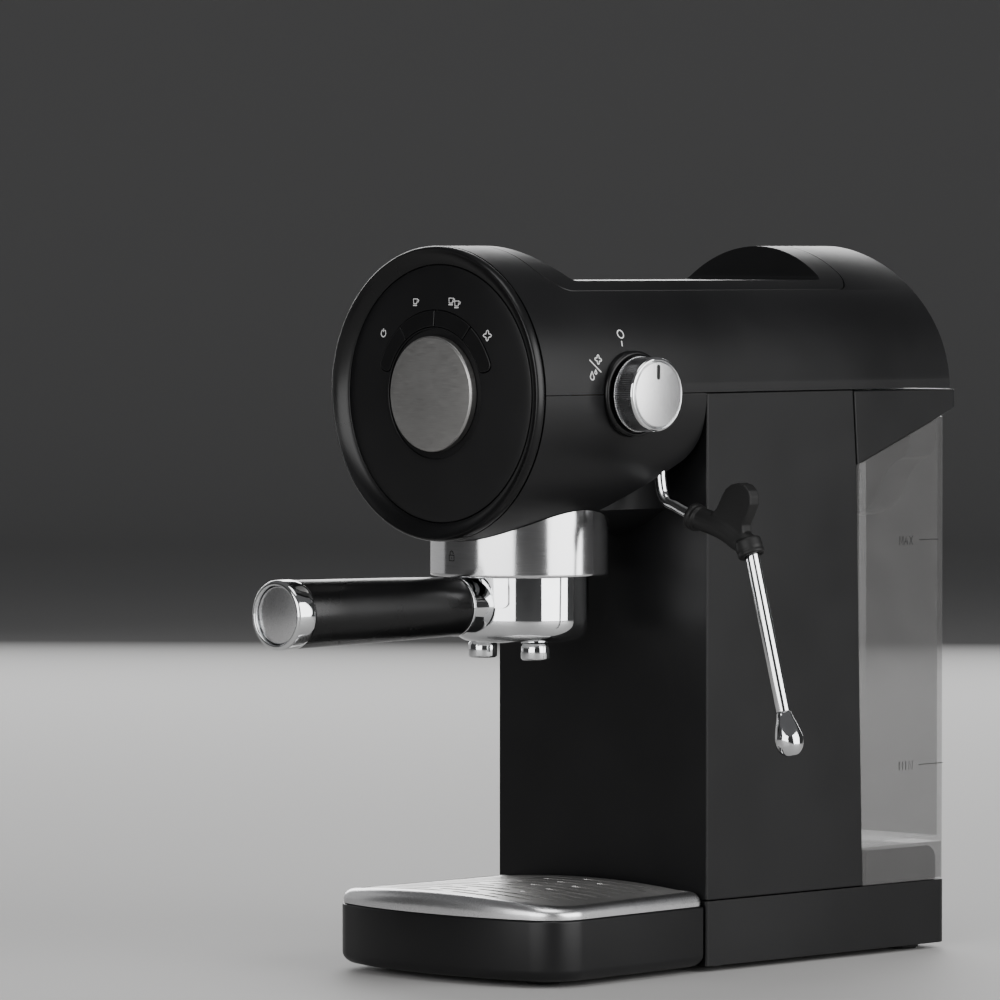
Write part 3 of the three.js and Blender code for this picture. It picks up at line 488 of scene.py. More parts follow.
def inked(name, lines, place, finish="print_white", body="machine", width=ink["line"]):
    # thin printed strokes; lines are (u, v) points and a line that ends where it starts is closed
    bm = bmesh.new()
    for line in lines:
        ringed = line[0] == line[-1]
        points = [Vector((u, v, 0)) for u, v in (line[:-1] if ringed else line)]
        last = len(points) - 1
        sides = []
        for index, spot in enumerate(points):
            before = points[index - 1] if index or ringed else spot
            after = points[(index + 1) % len(points)] if index < last or ringed else spot
            way = (after - before).normalized()
            across = Vector((-way.y, way.x, 0)) * width / 2
            sides.append((bm.verts.new(spot + across), bm.verts.new(spot - across)))
        for index in range(len(points) if ringed else last):
            (a, b), (c, d) = sides[index], sides[(index + 1) % len(points)]
            bm.faces.new((a, b, d, c))
    push = bmesh.ops.extrude_face_region(bm, geom=bm.faces[:])
    moved = [item for item in push["geom"] if isinstance(item, bmesh.types.BMVert)]
    bmesh.ops.translate(bm, verts=moved, vec=(0, 0, ink["thick"]))
    bm.transform(place)
    shaped(name, bm, finish, body, weld=False)


def onSurface(spot, outward, upward, turn=0.0):
    outward = Vector(outward).normalized()
    across = Vector(upward).cross(outward).normalized()
    frameOf = Matrix((across, outward.cross(across), outward)).transposed().to_4x4()
    return Matrix.Translation(Vector(spot)) @ frameOf @ Matrix.Rotation(math.radians(turn), 4, "Z")


def arcLine(u, v, radius, start, end, count=24, lobes=0.0):
    angles = [math.radians(start + (end - start) * k / count) for k in range(count + 1)]
    line = [(u + (radius + lobes * math.cos(4 * angle)) * math.cos(angle),
             v + (radius + lobes * math.cos(4 * angle)) * math.sin(angle)) for angle in angles]
    if abs(end - start) == 360:
        line[-1] = line[0]
    return line


def cupLines(u, v):
    lines = [[(-1.35, 1.3), (1.15, 1.3), (0.8, -0.75), (-1.0, -0.75), (-1.35, 1.3)],
             [(1.1, 1.0), (1.95, 0.85), (1.75, 0.1), (0.95, -0.05)], [(-1.3, -1.45), (1.1, -1.45)]]
    return [[(x + u, y + v) for x, y in line] for line in lines]


def makeFront():
    bezel = turned("y", headCentre, [
        (46, -95.0), (58.6, -95.0), (58.6, -97.1), (60.9, -97.1, 0.3), (halfWidth, -97.7, 0.4),
        (halfWidth, -99.5, 0.8), (61.0, -101.1, 0.6), (60.2, -101.5, 0.3), (59.6, -100.9, 0.4),
        (57.6, -98.8, 2.0), (55.2, -97.5, 0.8), (54.0, -97.2, 0.2), (54.0, -95.6), (46, -95.6)],
        192, 5, closed=True)
    shaped("frontBezel", bezel, "bezel_black", "machine", ["front_bezel"], angle=40)

    edge, recess = dial["edge"], dial["recess"]
    rise = [(edge - (edge - recess) * k / 12, domeY(edge - (edge - recess) * k / 12)) for k in range(1, 12)]
    panel = turned("y", headCentre, [(0, -98.3), (44, -98.3), (44, -95.9), (dial["lip"], -95.9),
                                     (dial["lip"], domeY(edge) + 0.15, 0.25)] + rise
                   + [(recess, domeY(recess), 0.35), (recess, dial["hub"], 0.2), (0, dial["hub"])], 160)
    reach, slotEnd = 2 * dial["step"], dial["slotEnd"]
    slot = prism("y", arcOutline(dial["inner"], dial["outer"], -reach, reach, slotEnd, slotEnd), -104, -90)
    panel = combined(panel, slot, "DIFFERENCE")
    shaped("frontPanel", panel, "panel_black", "machine", ["front_panel"], bevel=0.5, steps=4)

    disc = turned("y", headCentre, [(0, -99.7), (24.1, -99.7), (24.1, -102.45, 0.1), (23.3, -103.06, 0.15),
                                    (0, -103.0)], 160, 3)
    shaped("steelDisc", disc, "disc_steel", "machine", ["steel_disc"], angle=20)

    for index, label in enumerate(("power", "single", "double", "steam")):
        first, last = index == 0, index == 3
        start = (index - 2) * dial["step"] + dial["slack"]
        end = start + dial["step"] - 2 * dial["slack"]
        outline = arcOutline(dial["inner"] + gap, dial["outer"] - gap, start + gap * first, end - gap * last,
                             dial["capEnd"] * first, dial["capEnd"] * last)
        cap = prism("y", outline, -101.4, -95.5)
        for vert in cap.verts:
            if vert.co.y < -100:
                vert.co.y = domeY(math.hypot(vert.co.x, vert.co.z - seamZ)) - dial["proud"]
        flange = prism("y", arcOutline(*dial["flange"], start + 0.6, end - 0.6), -98.0, headFront)
        shaped("button_" + label + "_cap", joined(cap, flange), "button_black", label + "_button",
               ["button_" + label], bevel=0.4, steps=4)

    symbols = {
        "power": (-51.4, 40.2, [arcLine(0, -0.1, 1.5, 60, -240), [(0, 0.5), (0, 1.9)]]),
        "single": (-17.9, 40.1, cupLines(0, 0)),
        "double": (15.4, 39.5, cupLines(-1.7, 0.5) + cupLines(1.7, -0.7)),
        "steam": (50.8, 38.8, [arcLine(0, 0, 1.6, 45, 405, 48, 0.55)]),
    }
    for label, (angle, radius, lines) in symbols.items():
        x, z = radius * math.sin(math.radians(angle)), radius * math.cos(math.radians(angle))
        outward = (2 * domeBow * x, -1, 2 * domeBow * z)
        place = onSurface((x, domeY(radius), seamZ + z), outward, (0, 0, 1))
        inked("symbol_" + label + "_print", lines, place)
    print("front made")


column = {"low": 27.8, "rearLow": 98.7, "rearMid": 94.2, "rearTop": 91.9, "midZ": 209.5, "bevel": 0.7}
base = {"rear": 155.0, "top": 27.5, "frontCorner": 1.2, "corner": 7, "tongue": 50, "tongueTop": 4.8,
        "inletX": -44, "inletZ": 14, "inletR": 6.4, "bevel": 0.6}


def makeColumn():
    side = [(0, column["low"]), (column["rearLow"], column["low"]), (column["rearMid"], column["midZ"]),
            (column["rearTop"], seamZ - gap / 2), (0, seamZ - gap / 2)]
    shaped("columnBody", prism("x", side, -halfWidth, halfWidth), "body_plastic", "machine",
           ["column_housing"], bevel=column["bevel"], steps=4)
    rear, corner, frontCorner = base["rear"], base["corner"], base["frontCorner"]
    outline = [(-halfWidth, 0, frontCorner), (halfWidth, 0, frontCorner), (halfWidth, rear, corner),
               (-halfWidth, rear, corner)]
    floor = combined(prism("z", outline, 0, base["top"]), boxed(-58.2, 58.2, 2.8, 152.2, -3, 24.9),
                     "DIFFERENCE")
    half = base["tongue"]     # the tongue carries the drip tray
    tongue = prism("z", [(-half, -90, 10), (half, -90, 10), (half, 1.6), (-half, 1.6)], gap, base["tongueTop"])
    floor = combined(floor, tongue, "UNION")
    inlet = turned("y", (base["inletX"], 0, base["inletZ"]),
                   [(0, 148), (base["inletR"], 148), (base["inletR"], 160), (0, 160)], 48)
    floor = combined(floor, inlet, "DIFFERENCE")
    shaped("baseBody", floor, "body_plastic", "machine", ["base_chassis"], bevel=base["bevel"], steps=3)
    print("column and base made")


tray = {"rim": 25.5, "floor": 8.0, "wall": 2.4, "crown": 34.2, "crownR": 560.0, "rimRise": 5.2,
        "sheetInset": 5.2, "sheetLow": 29.2, "sheetTop": 30.4, "sheetCut": 4,
        "slotHalf": 1.3, "slotRound": 1.25, "slotGap": 3,
        # each row of slots: y and half its width
        "rows": ((-14, 46), (-22, 47), (-30, 48), (-38, 49), (-46, 50), (-54, 50.5), (-62, 51), (-70, 51),
                 (-78, 49), (-86, 43), (-93, 30))}


def trayOutline(inset, rear=1.0):
    # a bowed front, round corners and sides that narrow to the column
    return [(61.5 - inset, -0.6 - inset * 0.9, rear), (-61.5 + inset, -0.6 - inset * 0.9, rear),
            (-67.9 + inset, -95.2 + inset, 15 - inset * 0.5), (0, -115.7 + inset, 50),
            (67.9 - inset, -95.2 + inset, 15 - inset * 0.5)]


def crownAt(x):
    return tray["crown"] - x * x / (2 * tray["crownR"])


def quarter(radius, fromInset, fromZ, outward=1, steps=7):
    # a rounded outer edge, from upright to level; outward -1 runs from level to upright
    turns = [math.pi / 2 * k / steps for k in range(steps + 1)]
    points = [(fromInset + radius * (1 - math.cos(turn)), fromZ + radius * math.sin(turn)) for turn in turns]
    return points if outward > 0 else [(inset, 2 * fromZ - z) for inset, z in reversed(points)]


def makeTray():
    profile = quarter(5.0, 0, 5.0, -1) + quarter(0.9, 0, tray["rim"] - 0.9)
    tub = lofted([[(x, y, z) for x, y in outlineRing(trayOutline(inset, 2.4), 24)] for inset, z in profile])
    tub = combined(tub, prism("z", trayOutline(tray["wall"], 1.5), tray["floor"], 40, 24), "DIFFERENCE")
    tub = combined(tub, boxed(-50.6, 50.6, -90.6, 10, -5, tray["floor"] - 2.2), "DIFFERENCE")
    shaped("dripTray", tub, "body_plastic", "tray", ["drip_tray"], bevel=0.25, steps=2)

    low, rise = tray["rim"] + gap, tray["rimRise"]
    profile = ([(2.6, low), (0.5, low)] + quarter(3.7, 0.4, low + 1.5) + [(4.9, low + rise)]
               + quarter(0.7, 4.9, low + 4.5)[1:] + [(5.6, low + 3.0), (4.4, low + 2.6), (3.0, low + 1.2)])
    rings = []
    for inset, z in profile:
        ring = outlineRing(trayOutline(inset, 4.5 - inset * 0.3), 24)
        # the rim's top follows the crown, its foot stays level
        share = min(1.0, (z - low) / rise)
        rings.append([(x, y, z + share * (crownAt(x) + 0.25 - low - rise)) for x, y in ring])
    shaped("dripPlateRim", lofted(rings, closed=True), "satin_steel", "plate", angle=50)

    sheet = prism("z", trayOutline(tray["sheetInset"]), tray["sheetLow"], tray["sheetTop"], 24)
    wide, rounding, apart = tray["slotHalf"], tray["slotRound"], tray["slotGap"]
    cuts = []
    for index, (y, half) in enumerate(tray["rows"]):
        if index % 2 == 0:
            spans = [(-half, -apart), (apart, half)]
        else:
            third = half / 3
            spans = [(-half, -third - apart), (-third + apart, third - apart), (third + apart, half)]
        for start, end in spans:
            cuts.append(prism("z", [(start, y - wide, rounding), (end, y - wide, rounding),
                                    (end, y + wide, rounding), (start, y + wide, rounding)], 20, 45, 4))
    sheet = combined(sheet, joined(*cuts), "DIFFERENCE")
    # strips across the sheet let it bend to the crown
    for x in range(-60, 61, tray["sheetCut"]):
        bmesh.ops.bisect_plane(sheet, geom=sheet.verts[:] + sheet.edges[:] + sheet.faces[:], plane_co=(x, 0, 0),
                               plane_no=(1, 0, 0))
    for vert in sheet.verts:
        vert.co.z += crownAt(vert.co.x) - tray["sheetTop"]
    shaped("dripPlateSheet", sheet, "plate_steel", "plate", ["drip_plate"], bevel=0.2, steps=2, angle=40)
    print("tray made")


tank = {"front": 94.0, "low": 27.8, "floor": 44.0, "top": 231.0, "wall": 2.2, "half": 61.47, "rear": 154.8,
        "corner": 7, "capTop": 241.4, "capLip": 3.2, "tick": 135, "word": 122.2, "letter": 3.9,
        "letterWide": 2.8, "pitch": 3.15, "line": 0.32, "marks": (("MAX", 176.1, 147.4), ("MIN", 78.4, 151))}
dock = {"front": 104, "rear": 149.4, "half": 58.9, "low": 27.8, "top": 42.5, "outletY": 126, "outletR": 4.4}
letters = {
    "M": [[(0, 0), (0, 1), (0.4, 0.3), (0.8, 1), (0.8, 0)]],
    "A": [[(0, 0), (0.4, 1), (0.8, 0)], [(0.17, 0.36), (0.63, 0.36)]],
    "X": [[(0, 0), (0.8, 1)], [(0, 1), (0.8, 0)]],
    "I": [[(0.4, 0), (0.4, 1)]],
    "N": [[(0, 0), (0, 1), (0.8, 0), (0.8, 1)]],
}


def tankFront(z):
    share = (z - column["low"]) / (column["midZ"] - column["low"])
    return column["rearLow"] + gap + share * (column["rearMid"] - column["rearLow"])


def capSide(drop):
    # the tank's lid from the side: a slanted underside and a lip past the rear
    lip, top = base["rear"] + tank["capLip"], tank["capTop"]
    return [(column["rearMid"] + gap + 0.4, column["midZ"] - drop), (base["rear"] + 0.6, 232.1 - drop),
            (lip, 233.4 - drop, 0.8), (lip, top, 1.2), (column["rearTop"] + gap + 0.4, top)]


def wellOutline(grow):
    # the finger well from behind, open at the top
    right = [(31 + grow, 189 - grow, 11), (42 + grow, 211 - grow, 8), (55 + grow, 215.5 - grow, 9),
             (55 + grow, 250)]
    left = [(-corner[0], *corner[1:]) for corner in reversed(right)]
    return left + [(0, 186.2 - grow, 20)] + right


def tankBlock(inset, low, high):
    half = tank["half"] - inset
    rear = tank["rear"] - inset
    side = prism("x", [(tankFront(low) + inset, low), (tankFront(high) + inset, high), (rear, high),
                       (rear, low)], -half, half)
    front, corner = tank["front"] + inset, tank["corner"] - inset
    plan = prism("z", [(-half, front, corner), (half, front, corner), (half, rear, corner),
                       (-half, rear, corner)], 0, 260)
    return combined(side, plan, "INTERSECT")


def makeTank():
    body = combined(tankBlock(0, tank["low"], tank["top"]),
                    tankBlock(tank["wall"], tank["floor"] + tank["wall"], tank["top"] + 5), "DIFFERENCE")
    skirt = tank["half"] - tank["wall"]
    body = combined(body, boxed(-skirt, skirt, 80, tank["rear"] - tank["wall"], 20, tank["floor"]),
                    "DIFFERENCE")
    body = combined(body, prism("x", capSide(0.3), -80, 80), "DIFFERENCE")
    body = combined(body, boxed(-90, 90, 60, 190, 229.5, 260), "DIFFERENCE")
    body = combined(body, prism("y", wellOutline(-1), 134, 170), "DIFFERENCE")
    shaped("tankBody", body, "tank_smoke", "tank", ["tank_body"], bevel=0.35, steps=2)

    cap = prism("x", capSide(0), -tank["half"], tank["half"])
    pocket = combined(prism("y", wellOutline(tank["wall"]), 134, base["rear"] - 3.6),
                      boxed(-90, 90, 100, 190, 229.2, 260), "DIFFERENCE")
    cap = combined(cap, pocket, "UNION")
    hollow = combined(prism("y", wellOutline(0), 136.2, 170), boxed(-90, 90, 100, 190, 227.2, 260),
                      "DIFFERENCE")
    cap = combined(cap, hollow, "DIFFERENCE")
    shaped("tankCap", cap, "body_plastic", "tank", ["tank_cap"], bevel=0.6, steps=3)

    front, rear, low, top = dock["front"], dock["rear"], dock["low"], dock["top"]
    stand = prism("x", [(front, low), (rear, low), (rear, top, 6), (front, top, 3)], -dock["half"], dock["half"])
    outlet = [(0, 20), (dock["outletR"], 20), (dock["outletR"], 60), (0, 60)]
    stand = combined(stand, turned("z", (0, dock["outletY"], 0), outlet, 48), "DIFFERENCE")
    shaped("tankDock", stand, "body_plastic", "machine", ["tank_dock"], bevel=0.5)

    for word, z, tickEnd in tank["marks"]:
        lines = [[(tank["tick"], 0), (tickEnd, 0)]]
        for index, letter in enumerate(word):
            left = tank["word"] + index * tank["pitch"]
            lines += [[(left + u * tank["letterWide"], (v - 0.5) * tank["letter"]) for u, v in line]
                      for line in letters[letter]]
        place = onSurface((tank["half"], 0, z), (1, 0, 0), (0, 0, 1))
        inked("tank_" + word.lower() + "_print", lines, place, "print_dark", "tank", tank["line"])
    print("tank made")


group = {"ring": 37.9, "ringInner": 34.4, "ringLow": 165.1, "ringTop": 215, "lockTurn": -4.5, "lockZ": 173.6,
         "lockLine": 0.42}
cupSpec = {"radius": 29.1, "inner": 27, "low": 137.2, "floor": 143.4, "top": 181.6, "round": 8.5, "pad": 29.9,
           "padHalf": 17.1, "padLow": 152.3, "padTop": 167, "ear": 1.45, "earY": 6, "earMiddle": 29.45,
           "spoutX": 15.6, "spoutY": -56.2}
handle = {"z": 153, "plug": 11.9,
          # radius, place along the handle, rounding
          "ferrule": [(0, -60), (11.7, -60), (11.75, -87.6, 0.3), (12.55, -88.3, 0.3), (12.55, -89.3, 0.25),
                      (0, -89.3)],
          "grip": [(0, -89.6), (12.3, -89.6, 0.6), (12.9, -112, 8), (13.6, -150, 12), (14.1, -182, 0.4),
                   (0, -182)],
          "cap": [(12.2, -182.3), (14.2, -182.3, 0.3), (14.4, -184.0, 0.4), (14.4, -191.8, 1.6),
                  (12.2, -191.8, 0.7)]}


def makeGroup():
    outer, inner, low, top = group["ring"], group["ringInner"], group["ringLow"], group["ringTop"]
    # the extra ring of points above each rounding keeps the tall wall's shading flat
    ring = turned("z", groupCentre, [(inner, low), (outer, low, 0.8), (outer, low + 1.4), (outer, top),
                                     (inner, top)], 160, 4, closed=True)
    ring = combined(ring, drum(halfWidth + gap, -150, 20), "DIFFERENCE")
    shaped("groupRing", ring, "shroud_steel", "machine", ["group_shroud"], bevel=0.25)
    lock = [[(-1.5, -1.6), (1.5, -1.6), (1.5, 0.7), (-1.5, 0.7), (-1.5, -1.6)],
            [(-0.95, 0.7), (-0.95, 1.5)] + arcLine(0, 1.5, 0.95, 180, 0, 10)[1:] + [(0.95, 1.2)],
            [(0, -0.7), (0, -0.2)]]
    turn = math.radians(group["lockTurn"])
    outward = (math.sin(turn), -math.cos(turn), 0)
    spot = (outer * outward[0], groupY + outer * outward[1], group["lockZ"])
    inked("lock_print", lock, onSurface(spot, outward, (0, 0, 1)), "print_dark", width=group["lockLine"])

    radius, inner, pad, half = cupSpec["radius"], cupSpec["inner"], cupSpec["pad"], cupSpec["padHalf"]
    low, floor, top = cupSpec["low"], cupSpec["floor"], cupSpec["top"]
    cup = turned("z", groupCentre, [(0, low), (radius, low, cupSpec["round"]), (radius, 147), (radius, top),
                                    (inner, top), (inner, floor), (0, floor)], 160, 10)
    padLow, padTop = cupSpec["padLow"], cupSpec["padTop"]
    band = turned("z", groupCentre, [(inner, 150), (pad, 150), (pad, padTop), (inner, padTop)], 160,
                  closed=True)
    window = prism("y", [(-half, padLow, 2.4), (half, padLow, 2.4), (half, padTop), (-half, padTop)], -90, -65)
    cup = combined(cup, combined(band, window, "INTERSECT"), "UNION")
    for side in (-1, 1):
        middle, ear, earY = side * cupSpec["earMiddle"], cupSpec["ear"], cupSpec["earY"]
        lug = boxed(middle - ear, middle + ear, groupY - earY, groupY + earY, 174, 178)
        cup = combined(cup, lug, "UNION")
    shaped("portafilterCup", cup, "chrome", "portafilter", ["portafilter_cup"], bevel=0.5, steps=4)

    for side, label in ((-1, "left"), (1, "right")):
        spout = turned("z", (side * cupSpec["spoutX"], cupSpec["spoutY"], 0), [
            (2.6, 129.8), (5.3, 129.8, 0.3), (6.1, 130.5, 0.3), (6.1, 135.4, 0.5), (5.2, 136.9), (2.6, 136.9)],
            64, 3, closed=True)
        shaped("spout_" + label + "_lip", spout, "chrome", "portafilter", ["spout_" + label])

    centre, plug = (0, 0, handle["z"]), handle["plug"]
    ferrule = combined(turned("y", centre, handle["ferrule"], 128),
                       turned("z", groupCentre, [(0, 120), (30.0, 120), (30.0, 190), (0, 190)], 160),
                       "DIFFERENCE")
    shaped("handleFerrule", ferrule, "chrome", "portafilter", ["handle_ferrule"], angle=30)
    grip = turned("y", centre, handle["grip"], 128, 8)
    shaped("handleGrip", grip, "grip_black", "portafilter", ["handle_grip"], angle=40)
    cap = turned("y", centre, handle["cap"], 128, 6, closed=True)
    shaped("handleCap", cap, "chrome", "portafilter", ["handle_cap"], angle=40)
    end = turned("y", centre, [(0, -182.3), (plug, -182.3), (plug, -190.2, 0.6), (0, -191.0)], 128, 4)
    shaped("handlePlug", end, "satin_steel", "portafilter", ["handle_plug"], angle=40)
    print("group and portafilter made")


knob = {"y": -44.5, "radius": 15.45, "low": 64.2, "ribs": 108, "ribDepth": 0.4, "ribLong": 9.4, "ribStart": 0.6,
        "beads": 96, "beadR": 0.4, "beadX": 65.0, "pointer": (0.95, 6.2, 12.4), "line": 0.5}
waterDrop = [(0, 2.2), (0.55, 1.0), (1.05, 0.0), (0.9, -0.8), (0.35, -1.2), (-0.35, -1.2), (-0.9, -0.8),
             (-1.05, 0.0), (-0.55, 1.0), (0, 2.2)]


def makeKnob():
    centre = (0, knob["y"], seamZ)
    collar = turned("x", centre, [(4.6, 56), (18, 56), (18, 63.0, 0.8), (16.6, 63.4, 0.2), (16.3, 62.4, 0.2),
                                  (4.6, 62.4)], 128, 4, closed=True)
    collar = combined(collar, drum(halfWidth + gap, -100, 20), "DIFFERENCE")
    shaped("knobCollar", collar, "bezel_black", "machine", ["knob_collar"], bevel=0.2)

    grip = bmesh.new()
    circle = bmesh.ops.create_circle(grip, cap_ends=True, radius=knob["radius"], segments=knob["ribs"] * 2)
    for index, vert in enumerate(circle["verts"]):
        if index % 2:
            vert.co *= 1 - knob["ribDepth"] / knob["radius"]
    push = bmesh.ops.extrude_face_region(grip, geom=grip.faces[:])
    verts = [item for item in push["geom"] if isinstance(item, bmesh.types.BMVert)]
    bmesh.ops.translate(grip, verts=verts, vec=(0, 0, knob["ribLong"]))
    grip.transform(Matrix.Rotation(math.pi / 2, 4, "Y"))
    bmesh.ops.translate(grip, verts=grip.verts, vec=(knob["low"] + knob["ribStart"], knob["y"], seamZ))
    shaped("knobRibs", grip, "knurl_steel", "knob", angle=20)
    low = knob["low"]
    rings = turned("x", centre, [
        (3.3, low), (15.2, low, 0.2), (15.5, 64.9, 0.2), (14.8, 65.0), (14.8, 73.8), (15.5, 73.9, 0.2),
        (15.4, 74.9, 0.6), (14.2, 75.3, 0.3), (13.8, 74.5), (3.3, 74.4)], 160, 3, closed=True)
    shaped("knobGrip", rings, "chrome", "knob", ["steam_knob"], angle=30)
    beads = []
    for index in range(knob["beads"]):
        angle = 2 * math.pi * index / knob["beads"]
        bead = bmesh.new()
        bmesh.ops.create_uvsphere(bead, u_segments=10, v_segments=6, radius=knob["beadR"])
        y, z = knob["y"] + knob["radius"] * math.cos(angle), seamZ + knob["radius"] * math.sin(angle)
        bmesh.ops.translate(bead, verts=bead.verts, vec=(knob["beadX"], y, z))
        beads.append(bead)
    shaped("knobBeads", joined(*beads), "chrome", "knob", weld=False)
    face = turned("x", centre, [(0, 74.5), (13.6, 74.5), (13.6, 75.2, 0.15), (13.3, 75.5, 0.15), (0, 75.5)],
                  128, 3)
    shaped("knobFace", face, "satin_steel", "knob", ["knob_face"], bevel=0.1)
    half, inward, outward = knob["pointer"]
    left, right, foot, head = knob["y"] - half, knob["y"] + half, seamZ + inward, seamZ + outward
    pointer = prism("x", [(left, foot, 0.8), (right, foot, 0.8), (right, head, 0.8), (left, head, 0.8)],
                    75.2, 75.58)
    shaped("knobPointer", pointer, "rubber_black", "knob")

    drops = [[(u * size + shiftU, v * size + shiftV) for u, v in waterDrop]
             for size, shiftU, shiftV in ((1.05, -2.0, -4.6), (0.55, 0.2, -2.5))]
    marks = (("off", (-47.4, 24.7), -14, [arcLine(0, 0.2, 1.75, 0, 360), [(0.15, -2.9), (0.2, -5.4)]]),
             ("brew", (-66.7, 11.7), -8,
              [[(-3.2, 2.4), (3.4, -2.0)], arcLine(1.9, 3.2, 1.45, 45, 405, 48, 0.5)] + drops))
    for label, (y, rise), turn, lines in marks:
        lean = math.asin(rise / halfWidth)
        outward = (math.cos(lean), 0, math.sin(lean))
        spot = (halfWidth * outward[0], y, seamZ + halfWidth * outward[2])
        inked("knob_" + label + "_print", lines, onSurface(spot, outward, (0, 0, 1), turn), width=knob["line"])
    print("knob made")


wand = {"x": 50.0, "y": -16.0, "pipeEnd": Vector((67.6, -16, 191.1)), "gripEnd": Vector((102.1, -16, 175)),
        "tip": Vector((124.7, -16, 92.8)), "reach": 66.4, "pipe": 2.5, "sleeve": 4.9, "lobe": 2.9, "tube": 3,
        "bore": 3.3, "tuck": 5.7, "voxel": 0.00034,
        # x and z of the thumb lobe
        "lobeSide": [(79, 186), (80, 191.2), (84.4, 194.4), (87.1, 199.2), (89.8, 202.8), (92.8, 204.5),
                     (96.7, 205.3), (100.1, 204.5), (102.6, 202.2), (103.6, 199.6), (103.5, 196.3),
                     (101.2, 191.6), (99, 187.8), (99.6, 182), (92, 180)]}


def alongBar(start, end, profile, steps=48, segments=4):
    bar = turned("z", (0, 0, 0), profile, steps, segments)
    turn = Vector((0, 0, 1)).rotation_difference((end - start).normalized()).to_matrix().to_4x4()
    bar.transform(Matrix.Translation(start) @ turn)
    return bar


def makeWand():
    x, y = wand["x"], wand["y"]
    pipeEnd, gripEnd, tip = wand["pipeEnd"], wand["gripEnd"], wand["tip"]
    along = (pipeEnd - Vector((58.4, y, 194.4))).normalized()
    lean = Vector((0.42, 0, -0.907)).normalized()
    down = (tip - gripEnd).normalized()
    bend = [Vector((x, y, 232)), Vector((x, y, 216)), Vector((x, y, 204)), Vector((52.6, y, 197.4)),
            Vector((59, y, 194.4)), pipeEnd + along * 1.5]
    shaped("steamPipe", pipe(bend, wand["pipe"], 14, 7), "chrome", "wand", ["wand_pipe"], angle=50)

    sleeve = pipe([pipeEnd + along * 2, Vector((78, y, 188.4)), Vector((87, y, 185.6)), Vector((94, y, 182)),
                   gripEnd - lean * 4, gripEnd - lean * 1.5], wand["sleeve"], 12, 8)
    whole = combined(sleeve, prism("y", wand["lobeSide"], y - wand["lobe"], y + wand["lobe"]), "UNION")
    for start, way, length in ((pipeEnd, along, 5.2), (gripEnd - lean * 7.5, lean, 7.5)):
        collar = alongBar(start, start + way, [
            (0, 0.3), (5.3, 0.3, 0.4), (5.8, 1.0, 0.4), (5.8, length - 2.6, 0.3), (5.35, length - 2.0, 0.25),
            (5.75, length - 1.4, 0.3), (5.7, length - 0.3, 0.4), (5.2, length, 0.2), (0, length)], 64)
        whole = combined(whole, collar, "UNION")
    bore = alongBar(gripEnd - down * 6, gripEnd, [(0, 0), (wand["bore"], 0), (wand["bore"], 12), (0, 12)], 48)
    whole = combined(whole, bore, "DIFFERENCE")
    # the joined shapes are melted into one moulding
    grip = shaped("wandGrip", whole, "grip_rubber", "wand", ["wand_grip"], angle=60)
    blend = grip.modifiers.new("blended", "REMESH")
    blend.mode = "VOXEL"
    blend.voxel_size = wand["voxel"]
    blend.use_smooth_shade = True
    soften = grip.modifiers.new("softened", "SMOOTH")
    soften.factor = 0.5
    soften.iterations = 5

    reach, radius, tuck = wand["reach"], wand["tube"], wand["tuck"]
    tube = alongBar(gripEnd - down * tuck, tip, [(0, 0), (radius, 0, 0.3), (radius, reach + tuck, 0.15),
                                                 (0, reach + tuck)], 64)
    shaped("wandTube", tube, "chrome", "wand", ["wand_tube"], angle=50)
    start = gripEnd + down * (reach + gap)
    length = (tip - start).length
    nozzle = alongBar(start, tip, [
        (0, 0), (3.1, 0, 0.2), (3.5, length * 0.1, 1), (5.5, length * 0.42, 3), (6.15, length * 0.64, 2.4),
        (5.2, length * 0.86, 1.6), (2.6, length * 0.985, 0.8), (0, length)], 64, 6)
    shaped("wandNozzle", nozzle, "chrome", "wand", ["wand_nozzle"], angle=60)
    print("wand made")


cameraSpec = {"place": (2074.7, -2157.4, 301.54), "heading": 44.71, "down": 2.0335, "lens": 252.73,
              "sensor": 36, "farthest": 100}
studio = {
    "flat": 3.6, "wall": 6.5, "bend": 2.2, "height": 3.4, "sky": 0.14, "skyColour": (0.8, 0.8, 0.82, 1),
    # the floor's colour darkens from the pale tone near the machine to a darker tone far out: painted shade
    # standing in for light falling off
    "pale": (0.42, 0.415, 0.41), "farPaintedShade": (0.3, 0.3, 0.3), "paintedFalloff": (1.0, 3.4), "rough": 0.65, "aim": 0.17,
    # in metres: name, azimuth from the front, height, distance, width, tallness, power
    "lamps": (("right", 105, 0.65, 1.7, 1.75, 1.3, 36), ("left", 13, 0.65, 2.0, 1.8, 1.3, 30),
              ("back", 222, 0.75, 2.3, 2.2, 1.1, 34), ("top", 60, 2.3, 0.5, 1.2, 1.2, 16),
              ("fill", -95, 0.65, 2.2, 2.4, 1.3, 4)),
}


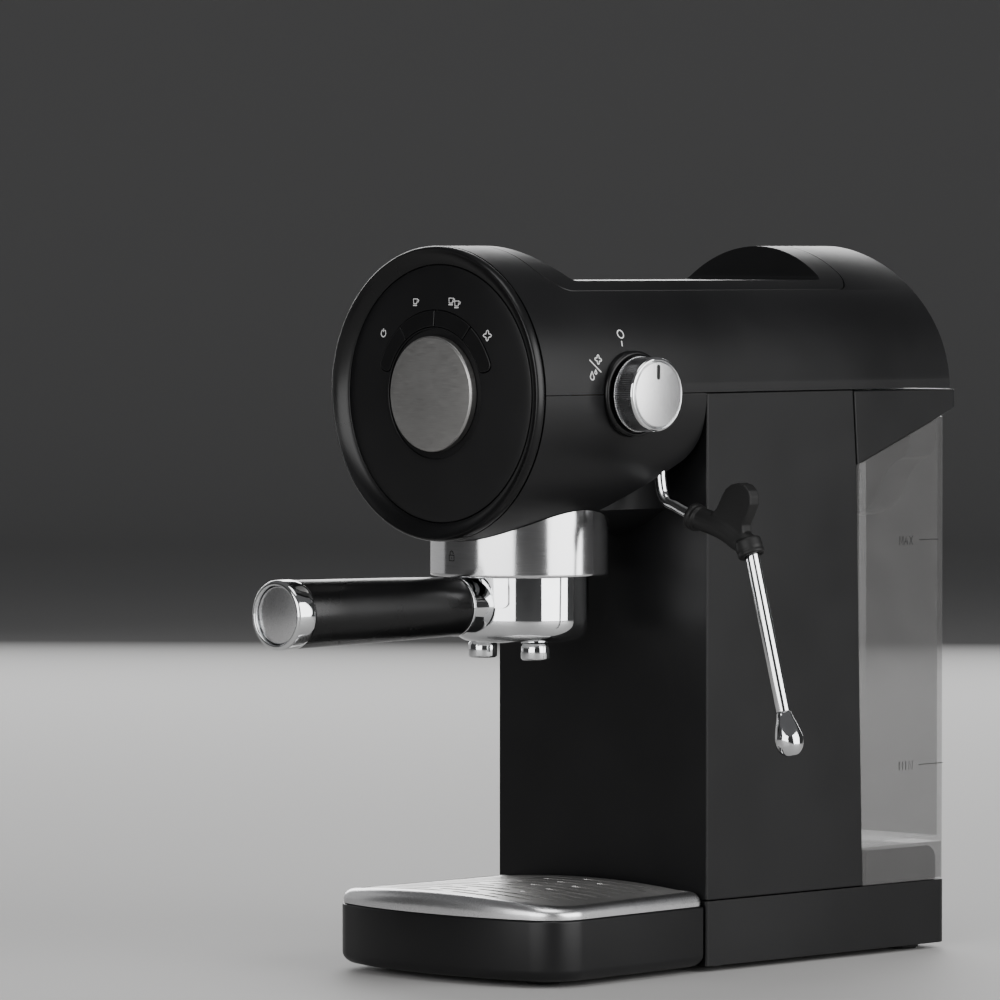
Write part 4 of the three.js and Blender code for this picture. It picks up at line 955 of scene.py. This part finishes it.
def makeStudio():
    camera = bpy.data.objects.new("camera", bpy.data.cameras.new("camera"))
    bpy.context.collection.objects.link(camera)
    camera.data.lens = cameraSpec["lens"]
    camera.data.sensor_width = cameraSpec["sensor"]
    camera.location = toFrame @ Vector(cameraSpec["place"])
    camera.rotation_euler = (math.radians(90 - cameraSpec["down"]), 0, math.radians(cameraSpec["heading"]))
    camera.data.clip_end = cameraSpec["farthest"]
    bpy.context.scene.camera = camera

    # a floor that bends up into a round wall
    sweep = turned("z", (0, 0, 0), [(0, 0), (studio["flat"], 0), (studio["wall"], 0, studio["bend"]),
                                    (studio["wall"], studio["height"])], 128, 24)
    mesh = bpy.data.meshes.new("floor")
    sweep.to_mesh(mesh)
    sweep.free()
    mesh.shade_smooth()
    floor = bpy.data.objects.new("floor", mesh)
    bpy.context.collection.objects.link(floor)
    paint, tree, shader = nodesOf("floor_with_painted_falloff")
    # painted shade: the floor and wall get darker with distance from the machine, as if the lamps' light fell
    # off
    reach = tree.nodes.new("ShaderNodeVectorMath")
    reach.operation = "LENGTH"
    tree.links.new(tree.nodes.new("ShaderNodeTexCoord").outputs["Object"], reach.inputs[0])
    paintedFalloff = ranged(tree, reach.outputs["Value"], 0, 1, *studio["paintedFalloff"])
    tree.links.new(tinted(tree, paintedFalloff, studio["pale"], studio["farPaintedShade"]), shader.inputs["Base Color"])
    shader.inputs["Roughness"].default_value = studio["rough"]
    bumped(tree, shader, patternOn(tree, 300, detail=4), 0.1, 0.0002)
    mesh.materials.append(paint)

    world = bpy.data.worlds.new("studio")
    bpy.context.scene.world = world
    world.use_nodes = True
    sky = world.node_tree.nodes["Background"]
    sky.inputs["Color"].default_value = studio["skyColour"]
    sky.inputs["Strength"].default_value = studio["sky"]

    for label, azimuth, height, distance, wide, tall, power in studio["lamps"]:
        lamp = bpy.data.objects.new(label, bpy.data.lights.new(label, "AREA"))
        lamp.data.shape = "RECTANGLE"
        lamp.data.size = wide
        lamp.data.size_y = tall
        lamp.data.energy = power
        lamp.visible_camera = False
        turn = math.radians(azimuth)
        lamp.location = (distance * math.sin(turn), -distance * math.cos(turn), height)
        way = Vector((0, 0, studio["aim"])) - lamp.location
        lamp.rotation_euler = way.to_track_quat("-Z", "Y").to_euler()
        bpy.context.collection.objects.link(lamp)
    print("studio made")


for make in (makeHead, makeFront, makeColumn, makeTray, makeTank, makeGroup, makeKnob, makeWand, makeStudio):
    make()
